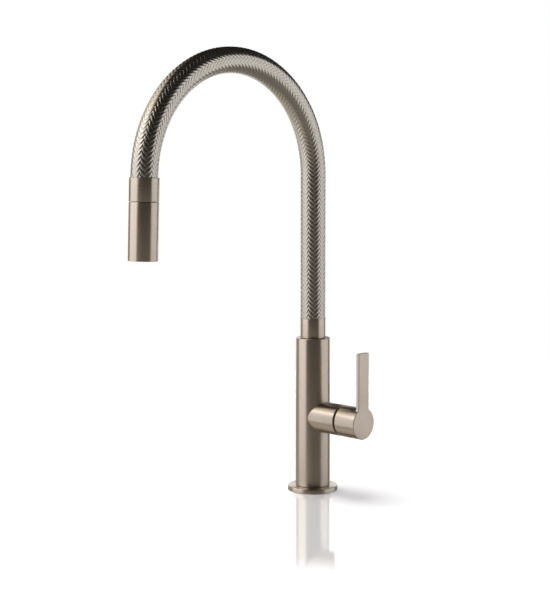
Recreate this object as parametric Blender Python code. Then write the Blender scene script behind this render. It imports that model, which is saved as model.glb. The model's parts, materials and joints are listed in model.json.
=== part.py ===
"""A single-lever kitchen faucet with an arched spout and a pull-down spray head.

Lengths are in metres. +Z is up, and the origin lies on the body's axis in the plane of the deck that the base
flange stands on. The spout reaches towards -Y, and the lever is on the +X side.
"""

from math import acos, asin, cos, pi, radians, sin, sqrt, tan

import bmesh
import bpy
from mathutils import Matrix, Vector

GAP = 0.0003  # clearance between pieces that touch
MERGE_DISTANCE = 1e-6

# Base and body column
FLANGE_RADIUS = 0.0275
FLANGE_HEIGHT = 0.0052
BODY_RADIUS = 0.0190
BODY_BORE = 0.0167
BODY_TOP = 0.1697
BODY_LID = 0.0035  # thickness of the column's closed top
GASKET_INNER = 0.0220
GASKET_OUTER = 0.0250
GASKET_HEIGHT = 0.0019

# Fixing under the deck
DECK_SPACE = 0.0400  # thickest deck that fits
SHANK_RADIUS = BODY_BORE - GAP
SHANK_BORE = 0.0140
SHANK_TOP = 0.0180
SHANK_BOTTOM = -0.0620
WASHER_RADIUS = 0.0265
RUBBER_HEIGHT = 0.0030
CLAMP_HEIGHT = 0.0023
NUT_RADIUS = 0.0255  # to the corners of the hexagon
NUT_HEIGHT = 0.0100

# Side valve: positions along its axis are X, and heights are measured from the axis
VALVE_HEIGHT = 0.0829
BARREL_RADIUS = 0.0170
BARREL_END = 0.0448
VALVE_BORE = 0.0131
SEAT = 0.0060  # where the cartridge's pocket ends inside the core
CORE_HALF_HEIGHT = 0.0165
PORT_COLUMN = 0.0024  # X of the water ways through the core
PORT_RADIUS = 0.0021
RISER_RADIUS = 0.0024
PORTS = {"hot": (-0.0070, -0.0025), "cold": (0.0070, -0.0025), "outlet": (0.0, 0.0055)}
SEAL_THICKNESS = 0.0012
SEAL_WALL = 0.0011
BASE_PLATE = 0.0018
CARTRIDGE_RADIUS = 0.0125
CARTRIDGE_NECK = 0.0110
CARTRIDGE_SHOULDER = 0.0335
CARTRIDGE_END = 0.0413
CHAMBER_RADIUS = 0.0115
ROTOR_RADIUS = 0.0096
ROTOR_START = 0.0200
DISC_THICKNESS = 0.0023
DISC_OFFSET = -0.0024  # the moving disc's height when the valve is shut
MOVING_DISC_RADIUS = 0.0088
PIVOT = BARREL_END - 0.0080  # X of the pin that the stem tilts on
STEM_HALF = 0.0032
PIN_RADIUS = 0.00125
FINGER_GAP = 0.0009  # lets the stem's finger tilt without touching the bottom of its socket

# Lever handle
LIFT_ANGLE = radians(14)
HANDLE_START = 0.0473
HANDLE_FACE = 0.0750
HANDLE_RADIUS = BARREL_RADIUS
HANDLE_CAVITY = 0.0144
HANDLE_FLOOR = 0.0660
BLADE_TOP = 0.0765
BLADE_HALF_WIDTH = 0.0082
BLADE_THICKNESS = 0.0038
BLADE_FILLET = 0.0030
BLADE_CORNER = 0.0012
BOSS_RADIUS = 0.0068
BOSS_START = 0.0500
SCREW_X = 0.0580
SCREW_RADIUS = 0.0023
SCREW_LENGTH = 0.0090

# Arched spout
FERRULE_RADIUS = 0.01405
FERRULE_TOP = 0.1914
SPOUT_SHANK_RADIUS = 0.0119
SPOUT_SHANK_BORE = 0.0089
SPOUT_SHANK_BOTTOM = 0.1505
SWIVEL_BORE = 0.0123
SWIVEL_ANGLE = radians(75)
STOP_HEIGHT = 0.1585
STOP_RADIUS = 0.0017
STOP_TIP = 0.0106
SLEEVE_RADIUS = 0.01385
SLEEVE_BORE = 0.0109
TUBE_RADIUS = SLEEVE_BORE - GAP
TUBE_BORE = 0.0090
TUBE_START = 0.1780
ARCH_SPRING = 0.3486  # height where the bend starts
ARCH_RADIUS = 0.1212
HEAD_LEAN = radians(1.75)  # the head leans this much away from the body
ARCH_SWEEP = pi - HEAD_LEAN

# Hose through the spout and the body
HOSE_RADIUS = 0.0058
HOSE_BORE = 0.0039
HOSE_OFFSET = -0.0076  # X of the hose where it passes the valve
HOSE_CHANNEL = 0.0064
HOSE_JOIN = 0.1470
NIPPLE_BORE = 0.0034
HOSE_FITTING_TOP = -0.0400
HOSE_FITTING_BOTTOM = -0.0660

# Dock and spray head: positions are distances past the end of the bend, along the head's own axis
COLLAR_RADIUS = 0.01515
COLLAR_START = 0.0019
COLLAR_END = 0.0254
DOCK_SHOULDER = 0.0120
DOCK_BORE = 0.0123
HEAD_RADIUS = 0.0151
HEAD_BORE = 0.0135
HEAD_START = COLLAR_END + 0.0004
HEAD_END = 0.0838
EDGE_CHAMFER = 0.0005

SHELL_SEGMENTS = 32
INNER_SEGMENTS = 20
SMALL_SEGMENTS = 12
HOSE_SEGMENTS = 10
ARCH_STEPS = 20  # straight pieces that the bend is made of
HANDLE_STEP = radians(10)  # each flat round the handle's cup


# ---------------------------------------------------------------- tools


def clear_scene():
    for thing in list(bpy.data.objects):
        bpy.data.objects.remove(thing, do_unlink=True)


def make_material(name, colour, roughness, metallic):
    material = bpy.data.materials.new(name)
    material.use_nodes = True
    shader = material.node_tree.nodes["Principled BSDF"]
    shader.inputs["Base Color"].default_value = (*colour, 1.0)
    shader.inputs["Roughness"].default_value = roughness
    shader.inputs["Metallic"].default_value = metallic
    return material


def finished_mesh(name, shape):
    """Close a bmesh into a mesh datablock with its faces pointing out and its round sides smooth."""
    bmesh.ops.recalc_face_normals(shape, faces=shape.faces[:])
    mesh = bpy.data.meshes.new(name)
    shape.to_mesh(mesh)
    shape.free()
    mesh.shade_smooth()
    mesh.set_sharp_from_angle(angle=radians(35))
    return mesh


def place(name, mesh, material, parent=None, location=(0, 0, 0)):
    thing = bpy.data.objects.new(name, mesh)
    bpy.context.scene.collection.objects.link(thing)
    thing.data.materials.append(material)
    thing.location = location
    thing.parent = parent
    return thing


def make_empty(name, location, parent=None, rotation=(0, 0, 0)):
    empty = bpy.data.objects.new(name, None)
    bpy.context.scene.collection.objects.link(empty)
    empty.location = location
    empty.rotation_euler = rotation
    empty.parent = parent
    return empty


def combine(target, mesh, operation):
    """Cut a guide shape out of the target, or join it on, with a Boolean modifier."""
    guide = bpy.data.objects.new(f"{target.name}_guide", mesh)
    bpy.context.scene.collection.objects.link(guide)
    guide.parent = target
    guide.hide_render = True
    guide.display_type = "WIRE"
    modifier = target.modifiers.new(guide.name, "BOOLEAN")
    modifier.object = guide
    modifier.operation = operation
    modifier.solver = "EXACT"


def cut(target, *meshes):
    for mesh in meshes:
        combine(target, mesh, "DIFFERENCE")


def join(target, *meshes):
    for mesh in meshes:
        combine(target, mesh, "UNION")


def ring_outline(inner, outer, low, high, chamfer=0.0):
    """Corners of a ring's section, as (radius, distance along the axis), its outer edges chamfered."""
    if not chamfer:
        return [(inner, low), (outer, low), (outer, high), (inner, high)]
    return [
        (inner, low),
        (outer - chamfer, low),
        (outer, low + chamfer),
        (outer, high - chamfer),
        (outer - chamfer, high),
        (inner, high),
    ]


def turned(name, outline, segments, along="Z"):
    """A solid turned about Z or X from a closed outline of (radius, distance along the axis)."""
    shape = bmesh.new()
    if along == "X":
        corners = [shape.verts.new((distance, 0, radius)) for radius, distance in outline]
        axis = (1, 0, 0)
    else:
        corners = [shape.verts.new((radius, 0, distance)) for radius, distance in outline]
        axis = (0, 0, 1)
    edges = []
    for i, corner in enumerate(corners):
        if outline[i][0] > 0 or outline[i - 1][0] > 0:
            edges.append(shape.edges.new((corners[i - 1], corner)))
    bmesh.ops.spin(
        shape,
        geom=corners + edges,
        cent=(0, 0, 0),
        axis=axis,
        dvec=(0, 0, 0),
        angle=2 * pi,
        steps=segments,
        use_merge=True,
    )
    bmesh.ops.remove_doubles(shape, verts=shape.verts[:], dist=MERGE_DISTANCE)
    return finished_mesh(name, shape)


def rod(name, start, end, radius, segments):
    """A plain cylinder between two points."""
    start = Vector(start)
    end = Vector(end)
    along = end - start
    middle = Matrix.Translation((start + end) / 2)
    shape = bmesh.new()
    bmesh.ops.create_cone(
        shape,
        cap_ends=True,
        segments=segments,
        radius1=radius,
        radius2=radius,
        depth=along.length,
        matrix=middle @ along.to_track_quat("Z", "Y").to_matrix().to_4x4(),
    )
    return finished_mesh(name, shape)


def block(name, low, high):
    """A box between two opposite corners."""
    low = Vector(low)
    high = Vector(high)
    size = Matrix.Diagonal((*(high - low), 1))
    shape = bmesh.new()
    bmesh.ops.create_cube(shape, size=1, matrix=Matrix.Translation((low + high) / 2) @ size)
    return finished_mesh(name, shape)


def swept_tube(name, stations, side, outer, inner, segments):
    """A hollow tube along (centre, direction) stations that lie in the plane square to side."""
    side = Vector(side)
    shape = bmesh.new()
    walls = {outer: [], inner: []}
    for centre, direction in stations:
        across = side.cross(direction).normalized()
        for radius, rings in walls.items():
            turns = [2 * pi * k / segments for k in range(segments)]
            points = [centre + radius * (cos(turn) * side + sin(turn) * across) for turn in turns]
            rings.append([shape.verts.new(point) for point in points])
    for rings in walls.values():
        for near, far in zip(rings, rings[1:]):
            bridge(shape, near, far)
    bridge(shape, walls[outer][0], walls[inner][0])
    bridge(shape, walls[outer][-1], walls[inner][-1])
    return finished_mesh(name, shape)


def bridge(shape, near, far):
    for k in range(len(near)):
        shape.faces.new((near[k - 1], near[k], far[k], far[k - 1]))


def arc(centre, radius, start, end, steps):
    """Points on an arc from one angle to another, both ends included."""
    turns = [start + (end - start) * k / steps for k in range(steps + 1)]
    return [(centre[0] + radius * cos(turn), centre[1] + radius * sin(turn)) for turn in turns]


# ---------------------------------------------------------------- materials


def make_materials():
    """One material for each finish: its colour, roughness and metallic value."""
    finishes = {
        "brushed_nickel": ((0.42, 0.36, 0.31), 0.30, 1.0),
        "braided_steel": ((0.55, 0.50, 0.46), 0.35, 1.0),
        "brass": ((0.62, 0.45, 0.20), 0.35, 1.0),
        "stainless_steel": ((0.60, 0.59, 0.57), 0.30, 1.0),
        "dark_steel": ((0.12, 0.12, 0.13), 0.40, 1.0),
        "black_rubber": ((0.02, 0.02, 0.02), 0.80, 0.0),
        "ceramic": ((0.85, 0.84, 0.80), 0.20, 0.0),
        "white_plastic": ((0.78, 0.78, 0.76), 0.45, 0.0),
        "grey_plastic": ((0.20, 0.20, 0.21), 0.50, 0.0),
        "hose_nylon": ((0.10, 0.10, 0.11), 0.55, 0.0),
    }
    return {name: make_material(name, *finish) for name, finish in finishes.items()}


# ---------------------------------------------------------------- base and column


def make_base_flange(finish):
    """The round foot, with a groove for the gasket in its underside."""
    groove_top = GASKET_HEIGHT + GAP
    outline = [
        (BODY_BORE, 0),
        (GASKET_INNER - GAP, 0),
        (GASKET_INNER - GAP, groove_top),
        (GASKET_OUTER + GAP, groove_top),
        (GASKET_OUTER + GAP, 0),
        (FLANGE_RADIUS, 0),
        (FLANGE_RADIUS, FLANGE_HEIGHT - EDGE_CHAMFER),
        (FLANGE_RADIUS - EDGE_CHAMFER, FLANGE_HEIGHT),
        (BODY_BORE, FLANGE_HEIGHT),
    ]
    place("base_flange", turned("base_flange", outline, SHELL_SEGMENTS), finish)


def make_base_gasket(finish):
    outline = ring_outline(GASKET_INNER, GASKET_OUTER, 0, GASKET_HEIGHT)
    place("base_gasket", turned("base_gasket", outline, INNER_SEGMENTS), finish)


def make_body_column(finish):
    """The column and its side barrel in one piece, bored from below and from the side."""
    column = ring_outline(0, BODY_RADIUS, FLANGE_HEIGHT + GAP, BODY_TOP, EDGE_CHAMFER)
    barrel = ring_outline(0, BARREL_RADIUS, SEAT, BARREL_END, EDGE_CHAMFER)
    body = place("body_column", turned("body_column", column, SHELL_SEGMENTS), finish)
    barrel_mesh = turned("barrel", barrel, SHELL_SEGMENTS, "X")
    barrel_mesh.transform(Matrix.Translation((0, 0, VALVE_HEIGHT)))
    join(body, barrel_mesh)
    lid = BODY_TOP - BODY_LID
    above = BODY_TOP + BODY_LID
    bore = [(0, 0), (BODY_BORE, 0), (BODY_BORE, lid), (SWIVEL_BORE, lid), (SWIVEL_BORE, above), (0, above)]
    cut(
        body,
        turned("column_bore", bore, SHELL_SEGMENTS),
        rod("stop_hole", (0, 0, STOP_HEIGHT), (0, 0.03, STOP_HEIGHT), STOP_RADIUS + GAP, SMALL_SEGMENTS),
        rod("valve_bore", (0, 0, VALVE_HEIGHT), (0.06, 0, VALVE_HEIGHT), VALVE_BORE, SHELL_SEGMENTS - 4),
    )


def make_mixing_core(finish):
    """The brass core: the cartridge's pocket, three water ways and the hose's channel."""
    outline = ring_outline(
        0, BODY_BORE - GAP, VALVE_HEIGHT - CORE_HALF_HEIGHT, VALVE_HEIGHT + CORE_HALF_HEIGHT
    )
    core = place("mixing_core", turned("mixing_core", outline, SHELL_SEGMENTS), finish)
    low = VALVE_HEIGHT - 2 * CORE_HALF_HEIGHT
    high = VALVE_HEIGHT + 2 * CORE_HALF_HEIGHT
    pocket_start = (SEAT, 0, VALVE_HEIGHT)
    cut(
        core,
        rod("pocket", pocket_start, (BARREL_END, 0, VALVE_HEIGHT), VALVE_BORE, SHELL_SEGMENTS),
        rod("channel", (HOSE_OFFSET, 0, low), (HOSE_OFFSET, 0, high), HOSE_CHANNEL, INNER_SEGMENTS),
    )
    for port, (across, up) in PORTS.items():
        height = VALVE_HEIGHT + up
        bottom = (PORT_COLUMN, across, low)
        top = (PORT_COLUMN, across, height + PORT_RADIUS + GAP)
        corner = (PORT_COLUMN, across, height)
        mouth = (SEAT + PORT_RADIUS, across, height)
        cut(core, rod(f"{port}_riser", bottom, top, RISER_RADIUS, SMALL_SEGMENTS))
        cut(core, rod(f"{port}_mouth", corner, mouth, PORT_RADIUS, SMALL_SEGMENTS))


def make_deck_fixing(finishes):
    """The shank that passes the deck, and the washers and nut that clamp it from below."""
    shank = ring_outline(SHANK_BORE, SHANK_RADIUS, SHANK_BOTTOM, SHANK_TOP, EDGE_CHAMFER)
    place("threaded_shank", turned("threaded_shank", shank, SHELL_SEGMENTS), finishes["brass"])

    rubber_top = -DECK_SPACE
    clamp_top = rubber_top - RUBBER_HEIGHT - GAP
    nut_top = clamp_top - CLAMP_HEIGHT - GAP
    rubber = ring_outline(BODY_BORE, WASHER_RADIUS, rubber_top - RUBBER_HEIGHT, rubber_top)
    clamp = ring_outline(BODY_BORE, WASHER_RADIUS, clamp_top - CLAMP_HEIGHT, clamp_top)
    place("rubber_washer", turned("rubber_washer", rubber, SHELL_SEGMENTS), finishes["black_rubber"])
    place("clamp_washer", turned("clamp_washer", clamp, SHELL_SEGMENTS), finishes["stainless_steel"])

    hexagon = rod("mounting_nut", (0, 0, nut_top - NUT_HEIGHT), (0, 0, nut_top), NUT_RADIUS, 6)
    nut = place("mounting_nut", hexagon, finishes["brass"])
    cut(nut, rod("nut_bore", (0, 0, SHANK_BOTTOM), (0, 0, 0), BODY_BORE, SHELL_SEGMENTS))


# ---------------------------------------------------------------- valve


def port_rods(name, start, end):
    """A cutter for each port that passes a plate between two X positions."""
    margin = 2 * DISC_THICKNESS
    cutters = []
    for port, (across, up) in PORTS.items():
        near = (start - margin, across, up)
        far = (end + margin, across, up)
        cutters.append(rod(f"{name}_{port}", near, far, PORT_RADIUS, SMALL_SEGMENTS))
    return cutters


def make_cartridge(finishes, valve):
    """The parts of the cartridge that stay still. Returns the X where the fixed disc ends."""
    seal_start = SEAT + GAP
    base_start = seal_start + SEAL_THICKNESS + GAP
    disc_start = base_start + BASE_PLATE + GAP
    disc_end = disc_start + DISC_THICKNESS
    for port, (across, up) in PORTS.items():
        name = f"{port}_seal"
        outline = ring_outline(PORT_RADIUS, PORT_RADIUS + SEAL_WALL, seal_start, seal_start + SEAL_THICKNESS)
        seal = turned(name, outline, SMALL_SEGMENTS, "X")
        place(name, seal, finishes["black_rubber"], valve, (0, across, up))

    base_outline = ring_outline(0, CHAMBER_RADIUS - GAP, base_start, disc_start - GAP)
    base_mesh = turned("cartridge_base", base_outline, INNER_SEGMENTS, "X")
    base = place("cartridge_base", base_mesh, finishes["white_plastic"], valve)
    cut(base, *port_rods("base", base_start, disc_start))

    disc_outline = ring_outline(0, CHAMBER_RADIUS - GAP, disc_start, disc_end)
    disc_mesh = turned("fixed_ceramic_disc", disc_outline, INNER_SEGMENTS, "X")
    disc = place("fixed_ceramic_disc", disc_mesh, finishes["ceramic"], valve)
    cut(disc, *port_rods("disc", disc_start, disc_end))

    chamber_end = ROTOR_START - 0.0005
    housing = [
        (CHAMBER_RADIUS, seal_start),
        (CARTRIDGE_RADIUS, seal_start),
        (CARTRIDGE_RADIUS, CARTRIDGE_SHOULDER),
        (CARTRIDGE_NECK, CARTRIDGE_SHOULDER),
        (CARTRIDGE_NECK, CARTRIDGE_END),
        (ROTOR_RADIUS + GAP, CARTRIDGE_END),
        (ROTOR_RADIUS + GAP, chamber_end),
        (CHAMBER_RADIUS, chamber_end),
    ]
    housing_mesh = turned("cartridge_housing", housing, INNER_SEGMENTS, "X")
    place("cartridge_housing", housing_mesh, finishes["grey_plastic"], valve)

    nut_radius = VALVE_BORE - GAP
    nut = ring_outline(CARTRIDGE_NECK + GAP, nut_radius, CARTRIDGE_SHOULDER + GAP, CARTRIDGE_END)
    nut_mesh = turned("cartridge_nut", nut, INNER_SEGMENTS, "X")
    place("cartridge_nut", nut_mesh, finishes["brass"], valve)

    cap_start = CARTRIDGE_END + GAP
    cap_hole = 0.0070
    dome = 0.0014
    cap = [
        (cap_hole, cap_start),
        (nut_radius, cap_start),
        (nut_radius, BARREL_END),
        (nut_radius - dome, BARREL_END + dome),
        (cap_hole, BARREL_END + dome),
    ]
    cap_mesh = turned("cartridge_cap", cap, INNER_SEGMENTS, "X")
    place("cartridge_cap", cap_mesh, finishes["dark_steel"], valve)
    return disc_end


def make_rotor(finishes, turning):
    """The rotor that turns with the lever, and the pin that the stem tilts on."""
    outline = ring_outline(0, ROTOR_RADIUS, ROTOR_START, CARTRIDGE_END - GAP)
    mesh = turned("cartridge_rotor", outline, INNER_SEGMENTS, "X")
    rotor = place("cartridge_rotor", mesh, finishes["white_plastic"], turning)
    slot_half = STEM_HALF + GAP
    slot_floor = -0.0050
    slot_roof = 0.0075  # the stem's inner end rises as the lever is lifted
    reach = 2 * ROTOR_RADIUS
    start = ROTOR_START - reach
    end = CARTRIDGE_END + reach
    slot = block("slot", (start, -slot_half, slot_floor), (end, slot_half, slot_roof))
    hole = rod("pin_hole", (PIVOT, -reach, 0), (PIVOT, reach, 0), PIN_RADIUS + GAP, SMALL_SEGMENTS)
    cut(rotor, slot, hole)

    pin_half = ROTOR_RADIUS - GAP
    pin = rod("stem_pin", (PIVOT, -pin_half, 0), (PIVOT, pin_half, 0), PIN_RADIUS, SMALL_SEGMENTS)
    place("stem_pin", pin, finishes["stainless_steel"], turning)


def make_moving_disc(finishes, turning, fixed_disc_end):
    """The disc that slides on the fixed one, and the carrier that the stem's finger moves."""
    disc_start = fixed_disc_end + GAP
    disc_end = disc_start + DISC_THICKNESS
    chamber_depth = 0.0012
    chamber_radius = 0.0050
    disc = [
        (0, disc_start + chamber_depth),
        (chamber_radius, disc_start + chamber_depth),
        (chamber_radius, disc_start),
        (MOVING_DISC_RADIUS, disc_start),
        (MOVING_DISC_RADIUS, disc_end),
        (0, disc_end),
    ]
    where = (0, 0, DISC_OFFSET)
    disc_mesh = turned("moving_ceramic_disc", disc, INNER_SEGMENTS, "X")
    place("moving_ceramic_disc", disc_mesh, finishes["ceramic"], turning, where)

    carrier_start = disc_end + GAP
    carrier_end = ROTOR_START - 0.0010
    socket_radius = 0.0032
    socket_floor = carrier_start + 0.0007
    carrier = [
        (0, carrier_start),
        (MOVING_DISC_RADIUS, carrier_start),
        (MOVING_DISC_RADIUS, carrier_end),
        (socket_radius, carrier_end),
        (socket_radius, socket_floor),
        (0, socket_floor),
    ]
    carrier_mesh = turned("disc_carrier", carrier, INNER_SEGMENTS, "X")
    place("disc_carrier", carrier_mesh, finishes["white_plastic"], turning, where)
    return socket_floor


def make_stem(finishes, lifting, finger_end):
    """The square stem on its pin, with the finger that reaches into the carrier."""
    bar_start = 0.0220
    bar = block(
        "valve_stem",
        (bar_start - PIVOT, -STEM_HALF, -STEM_HALF),
        (HANDLE_FLOOR - PIVOT, STEM_HALF, STEM_HALF),
    )
    stem = place("valve_stem", bar, finishes["stainless_steel"], lifting)
    finger_radius = 0.0023
    finger_start = (finger_end - PIVOT, 0, DISC_OFFSET)
    finger_root = (bar_start + finger_radius - PIVOT, 0, DISC_OFFSET)
    join(stem, rod("finger", finger_start, finger_root, finger_radius, SMALL_SEGMENTS))
    cut(stem, rod("stem_hole", (0, -0.01, 0), (0, 0.01, 0), PIN_RADIUS + GAP, SMALL_SEGMENTS))


# ---------------------------------------------------------------- lever handle


def keyhole_outline():
    """The handle seen along its axis, as (Y, height): a round end with a straight blade above it."""
    far = HANDLE_RADIUS + BLADE_FILLET
    fillet_y = BLADE_HALF_WIDTH + BLADE_FILLET
    fillet_z = sqrt(far**2 - fillet_y**2)
    meet = acos(fillet_y / far)
    corner_y = BLADE_HALF_WIDTH - BLADE_CORNER
    corner_z = BLADE_TOP - BLADE_CORNER
    half = arc((fillet_y, fillet_z), BLADE_FILLET, pi + meet, pi, 4)[1:]
    half += arc((corner_y, corner_z), BLADE_CORNER, 0, pi / 2, 3)
    mirrored = [(-y, z) for y, z in reversed(half)]
    steps = round((pi + 2 * meet) / HANDLE_STEP)
    round_end = arc((0, 0), HANDLE_RADIUS, pi - meet, 2 * pi + meet, steps)
    return half + mirrored + round_end


def extruded_outline(name, outline, start, end):
    """A plate between two X positions from an outline of (Y, height)."""
    shape = bmesh.new()
    face = shape.faces.new([shape.verts.new((start, y, z)) for y, z in outline])
    raised = bmesh.ops.extrude_face_region(shape, geom=[face])
    moved = [part for part in raised["geom"] if isinstance(part, bmesh.types.BMVert)]
    bmesh.ops.translate(shape, verts=moved, vec=(end - start, 0, 0))
    return finished_mesh(name, shape)


def relief_cutter():
    """A block under the handle's rim that lets the handle tilt without touching the barrel."""
    start_gap = HANDLE_START - BARREL_END - GAP
    behind = BARREL_END - PIVOT
    clearance = (behind + GAP) / cos(LIFT_ANGLE) - behind
    start_depth = (start_gap - clearance) / tan(LIFT_ANGLE)
    reach = 2 * HANDLE_RADIUS
    cutter = block("relief", (-reach, -reach, -reach), (0, reach, 0))
    lean = Matrix.Rotation(-LIFT_ANGLE, 4, "Y")
    corner = Vector((BARREL_END + start_gap - PIVOT, 0, -start_depth))
    cutter.transform(Matrix.Translation(corner) @ lean)
    return cutter


def make_handle(finishes, lifting):
    """The lever: a cup over the barrel's end, a blade, and a boss that takes the stem."""
    cup_segments = round(2 * pi / HANDLE_STEP)
    rim = HANDLE_START - PIVOT
    face = HANDLE_FACE - PIVOT
    floor = HANDLE_FLOOR - PIVOT
    boss = BOSS_START - PIVOT
    screw = SCREW_X - PIVOT
    blade_back = face - BLADE_THICKNESS
    plate = extruded_outline("lever_handle", keyhole_outline(), blade_back, face)
    handle = place("lever_handle", plate, finishes["brushed_nickel"], lifting)
    cup = ring_outline(0, HANDLE_RADIUS, rim, blade_back + BLADE_THICKNESS / 2)
    cavity = ring_outline(BOSS_RADIUS, HANDLE_CAVITY, 0, floor)
    mouth = ring_outline(0, BOSS_RADIUS + GAP, 0, boss)
    socket_half = STEM_HALF + GAP
    join(handle, turned("cup", cup, cup_segments, "X"))
    cut(
        handle,
        turned("cavity", cavity, SHELL_SEGMENTS, "X"),
        turned("mouth", mouth, SHELL_SEGMENTS, "X"),
        block("socket", (0, -socket_half, -socket_half), (floor + GAP, socket_half, socket_half)),
        rod("screw_hole", (screw, 0, -0.03), (screw, 0, 0), SCREW_RADIUS + GAP, SMALL_SEGMENTS),
        relief_cutter(),
    )

    screw_top = -socket_half
    screw_bottom = screw_top - SCREW_LENGTH
    plug_top = -HANDLE_CAVITY - GAP
    plug_bottom = -HANDLE_RADIUS + GAP
    lengths = {
        "handle_set_screw": (screw_bottom, screw_top, "dark_steel"),
        "handle_plug": (plug_bottom, plug_top, "brushed_nickel"),
    }
    for name, (bottom, top, finish) in lengths.items():
        mesh = rod(name, (screw, 0, bottom), (screw, 0, top), SCREW_RADIUS, SMALL_SEGMENTS)
        place(name, mesh, finishes[finish], lifting)


# ---------------------------------------------------------------- spout


def spout_line(distance):
    """Centre and direction of the spout's centreline, at a distance along it from the deck."""
    turn = (distance - ARCH_SPRING) / ARCH_RADIUS
    if turn <= 0:
        return Vector((0, 0, distance)), Vector((0, 0, 1))
    bent = min(turn, ARCH_SWEEP)
    centre = Vector((0, ARCH_RADIUS * (cos(bent) - 1), ARCH_SPRING + ARCH_RADIUS * sin(bent)))
    direction = Vector((0, -sin(bent), cos(bent)))
    beyond = (turn - bent) * ARCH_RADIUS
    return centre + beyond * direction, direction


def spout_stations(start, past_bend, steps):
    """Stations from a height on the column side to a distance past the end of the bend."""
    bends = [ARCH_SPRING + ARCH_RADIUS * ARCH_SWEEP * k / steps for k in range(steps + 1)]
    return [spout_line(distance) for distance in (start, *bends, bends[-1] + past_bend)]


def slot_cutter():
    """A part ring that lets the stop screw pass the spout's shank through the swivel's angle."""
    half_height = STOP_RADIUS + GAP
    floor = STOP_TIP - 2 * GAP
    reach = SWIVEL_ANGLE + asin(STOP_RADIUS / STOP_TIP) + radians(1.5)
    steps = 12
    shape = bmesh.new()
    sections = []
    for k in range(steps + 1):
        turn = pi / 2 - reach + 2 * reach * k / steps
        section = [
            shape.verts.new((radius * cos(turn), radius * sin(turn), STOP_HEIGHT + up))
            for radius, up in ring_outline(floor, SWIVEL_BORE, -half_height, half_height)
        ]
        sections.append(section)
    for near, far in zip(sections, sections[1:]):
        bridge(shape, near, far)
    shape.faces.new(sections[0])
    shape.faces.new(sections[-1])
    return finished_mesh("stop_slot", shape)


def make_ferrule(finishes, spout):
    """The collar at the spout's foot, with the shank that turns in the body and its two friction rings."""
    groove = 0.0107
    groove_height = 0.0016
    edge = 0.0018  # between a groove and the end of the shank
    lower_groove = SPOUT_SHANK_BOTTOM + edge
    upper_groove = BODY_TOP - BODY_LID - edge - groove_height
    foot = BODY_TOP + GAP
    outline = [(SPOUT_SHANK_BORE, SPOUT_SHANK_BOTTOM), (SPOUT_SHANK_RADIUS, SPOUT_SHANK_BOTTOM)]
    for low in (lower_groove, upper_groove):
        outline += [(SPOUT_SHANK_RADIUS, low), (groove, low)]
        outline += [(groove, low + groove_height), (SPOUT_SHANK_RADIUS, low + groove_height)]
    outline += [(SPOUT_SHANK_RADIUS, foot)]
    outline += ring_outline(SLEEVE_BORE, FERRULE_RADIUS, foot, FERRULE_TOP, EDGE_CHAMFER)[1:]
    outline += [(SLEEVE_BORE, TUBE_START - GAP), (SPOUT_SHANK_BORE, TUBE_START - GAP)]
    mesh = turned("spout_ferrule", outline, SHELL_SEGMENTS)
    ferrule = place("spout_ferrule", mesh, finishes["brushed_nickel"], spout)
    cut(ferrule, slot_cutter())

    for name, low in (("lower_friction_ring", lower_groove), ("upper_friction_ring", upper_groove)):
        ring = ring_outline(groove + GAP, SWIVEL_BORE - GAP, low + GAP, low + groove_height - GAP)
        place(name, turned(name, ring, INNER_SEGMENTS), finishes["black_rubber"], spout)


def make_swivel_bushing(finishes):
    """The bushing that the spout turns in, and the screw that stops it, both held by the body."""
    low = SPOUT_SHANK_BOTTOM + 0.0005
    high = BODY_TOP - BODY_LID - GAP
    outline = ring_outline(SWIVEL_BORE, BODY_BORE - GAP, low, high)
    mesh = turned("swivel_bushing", outline, SHELL_SEGMENTS)
    bushing = place("swivel_bushing", mesh, finishes["white_plastic"])
    outside = (0, 2 * BODY_RADIUS, STOP_HEIGHT)
    cut(bushing, rod("bushing_hole", (0, 0, STOP_HEIGHT), outside, STOP_RADIUS + GAP, SMALL_SEGMENTS))
    tip = (0, STOP_TIP, STOP_HEIGHT)
    head = (0, BODY_RADIUS - 2 * GAP, STOP_HEIGHT)
    screw = rod("swivel_stop_screw", tip, head, STOP_RADIUS, SMALL_SEGMENTS)
    place("swivel_stop_screw", screw, finishes["stainless_steel"])


def make_arch(finishes, spout):
    """The support tube and the braided sleeve around it."""
    sleeve = swept_tube(
        "braided_sleeve",
        spout_stations(FERRULE_TOP + GAP, COLLAR_START - GAP, ARCH_STEPS),
        (1, 0, 0),
        SLEEVE_RADIUS,
        SLEEVE_BORE,
        INNER_SEGMENTS,
    )
    tube = swept_tube(
        "arch_tube",
        spout_stations(TUBE_START, DOCK_SHOULDER - GAP, ARCH_STEPS),
        (1, 0, 0),
        TUBE_RADIUS,
        TUBE_BORE,
        SMALL_SEGMENTS,
    )
    place("braided_sleeve", sleeve, finishes["braided_steel"], spout)
    place("arch_tube", tube, finishes["stainless_steel"], spout)


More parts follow.
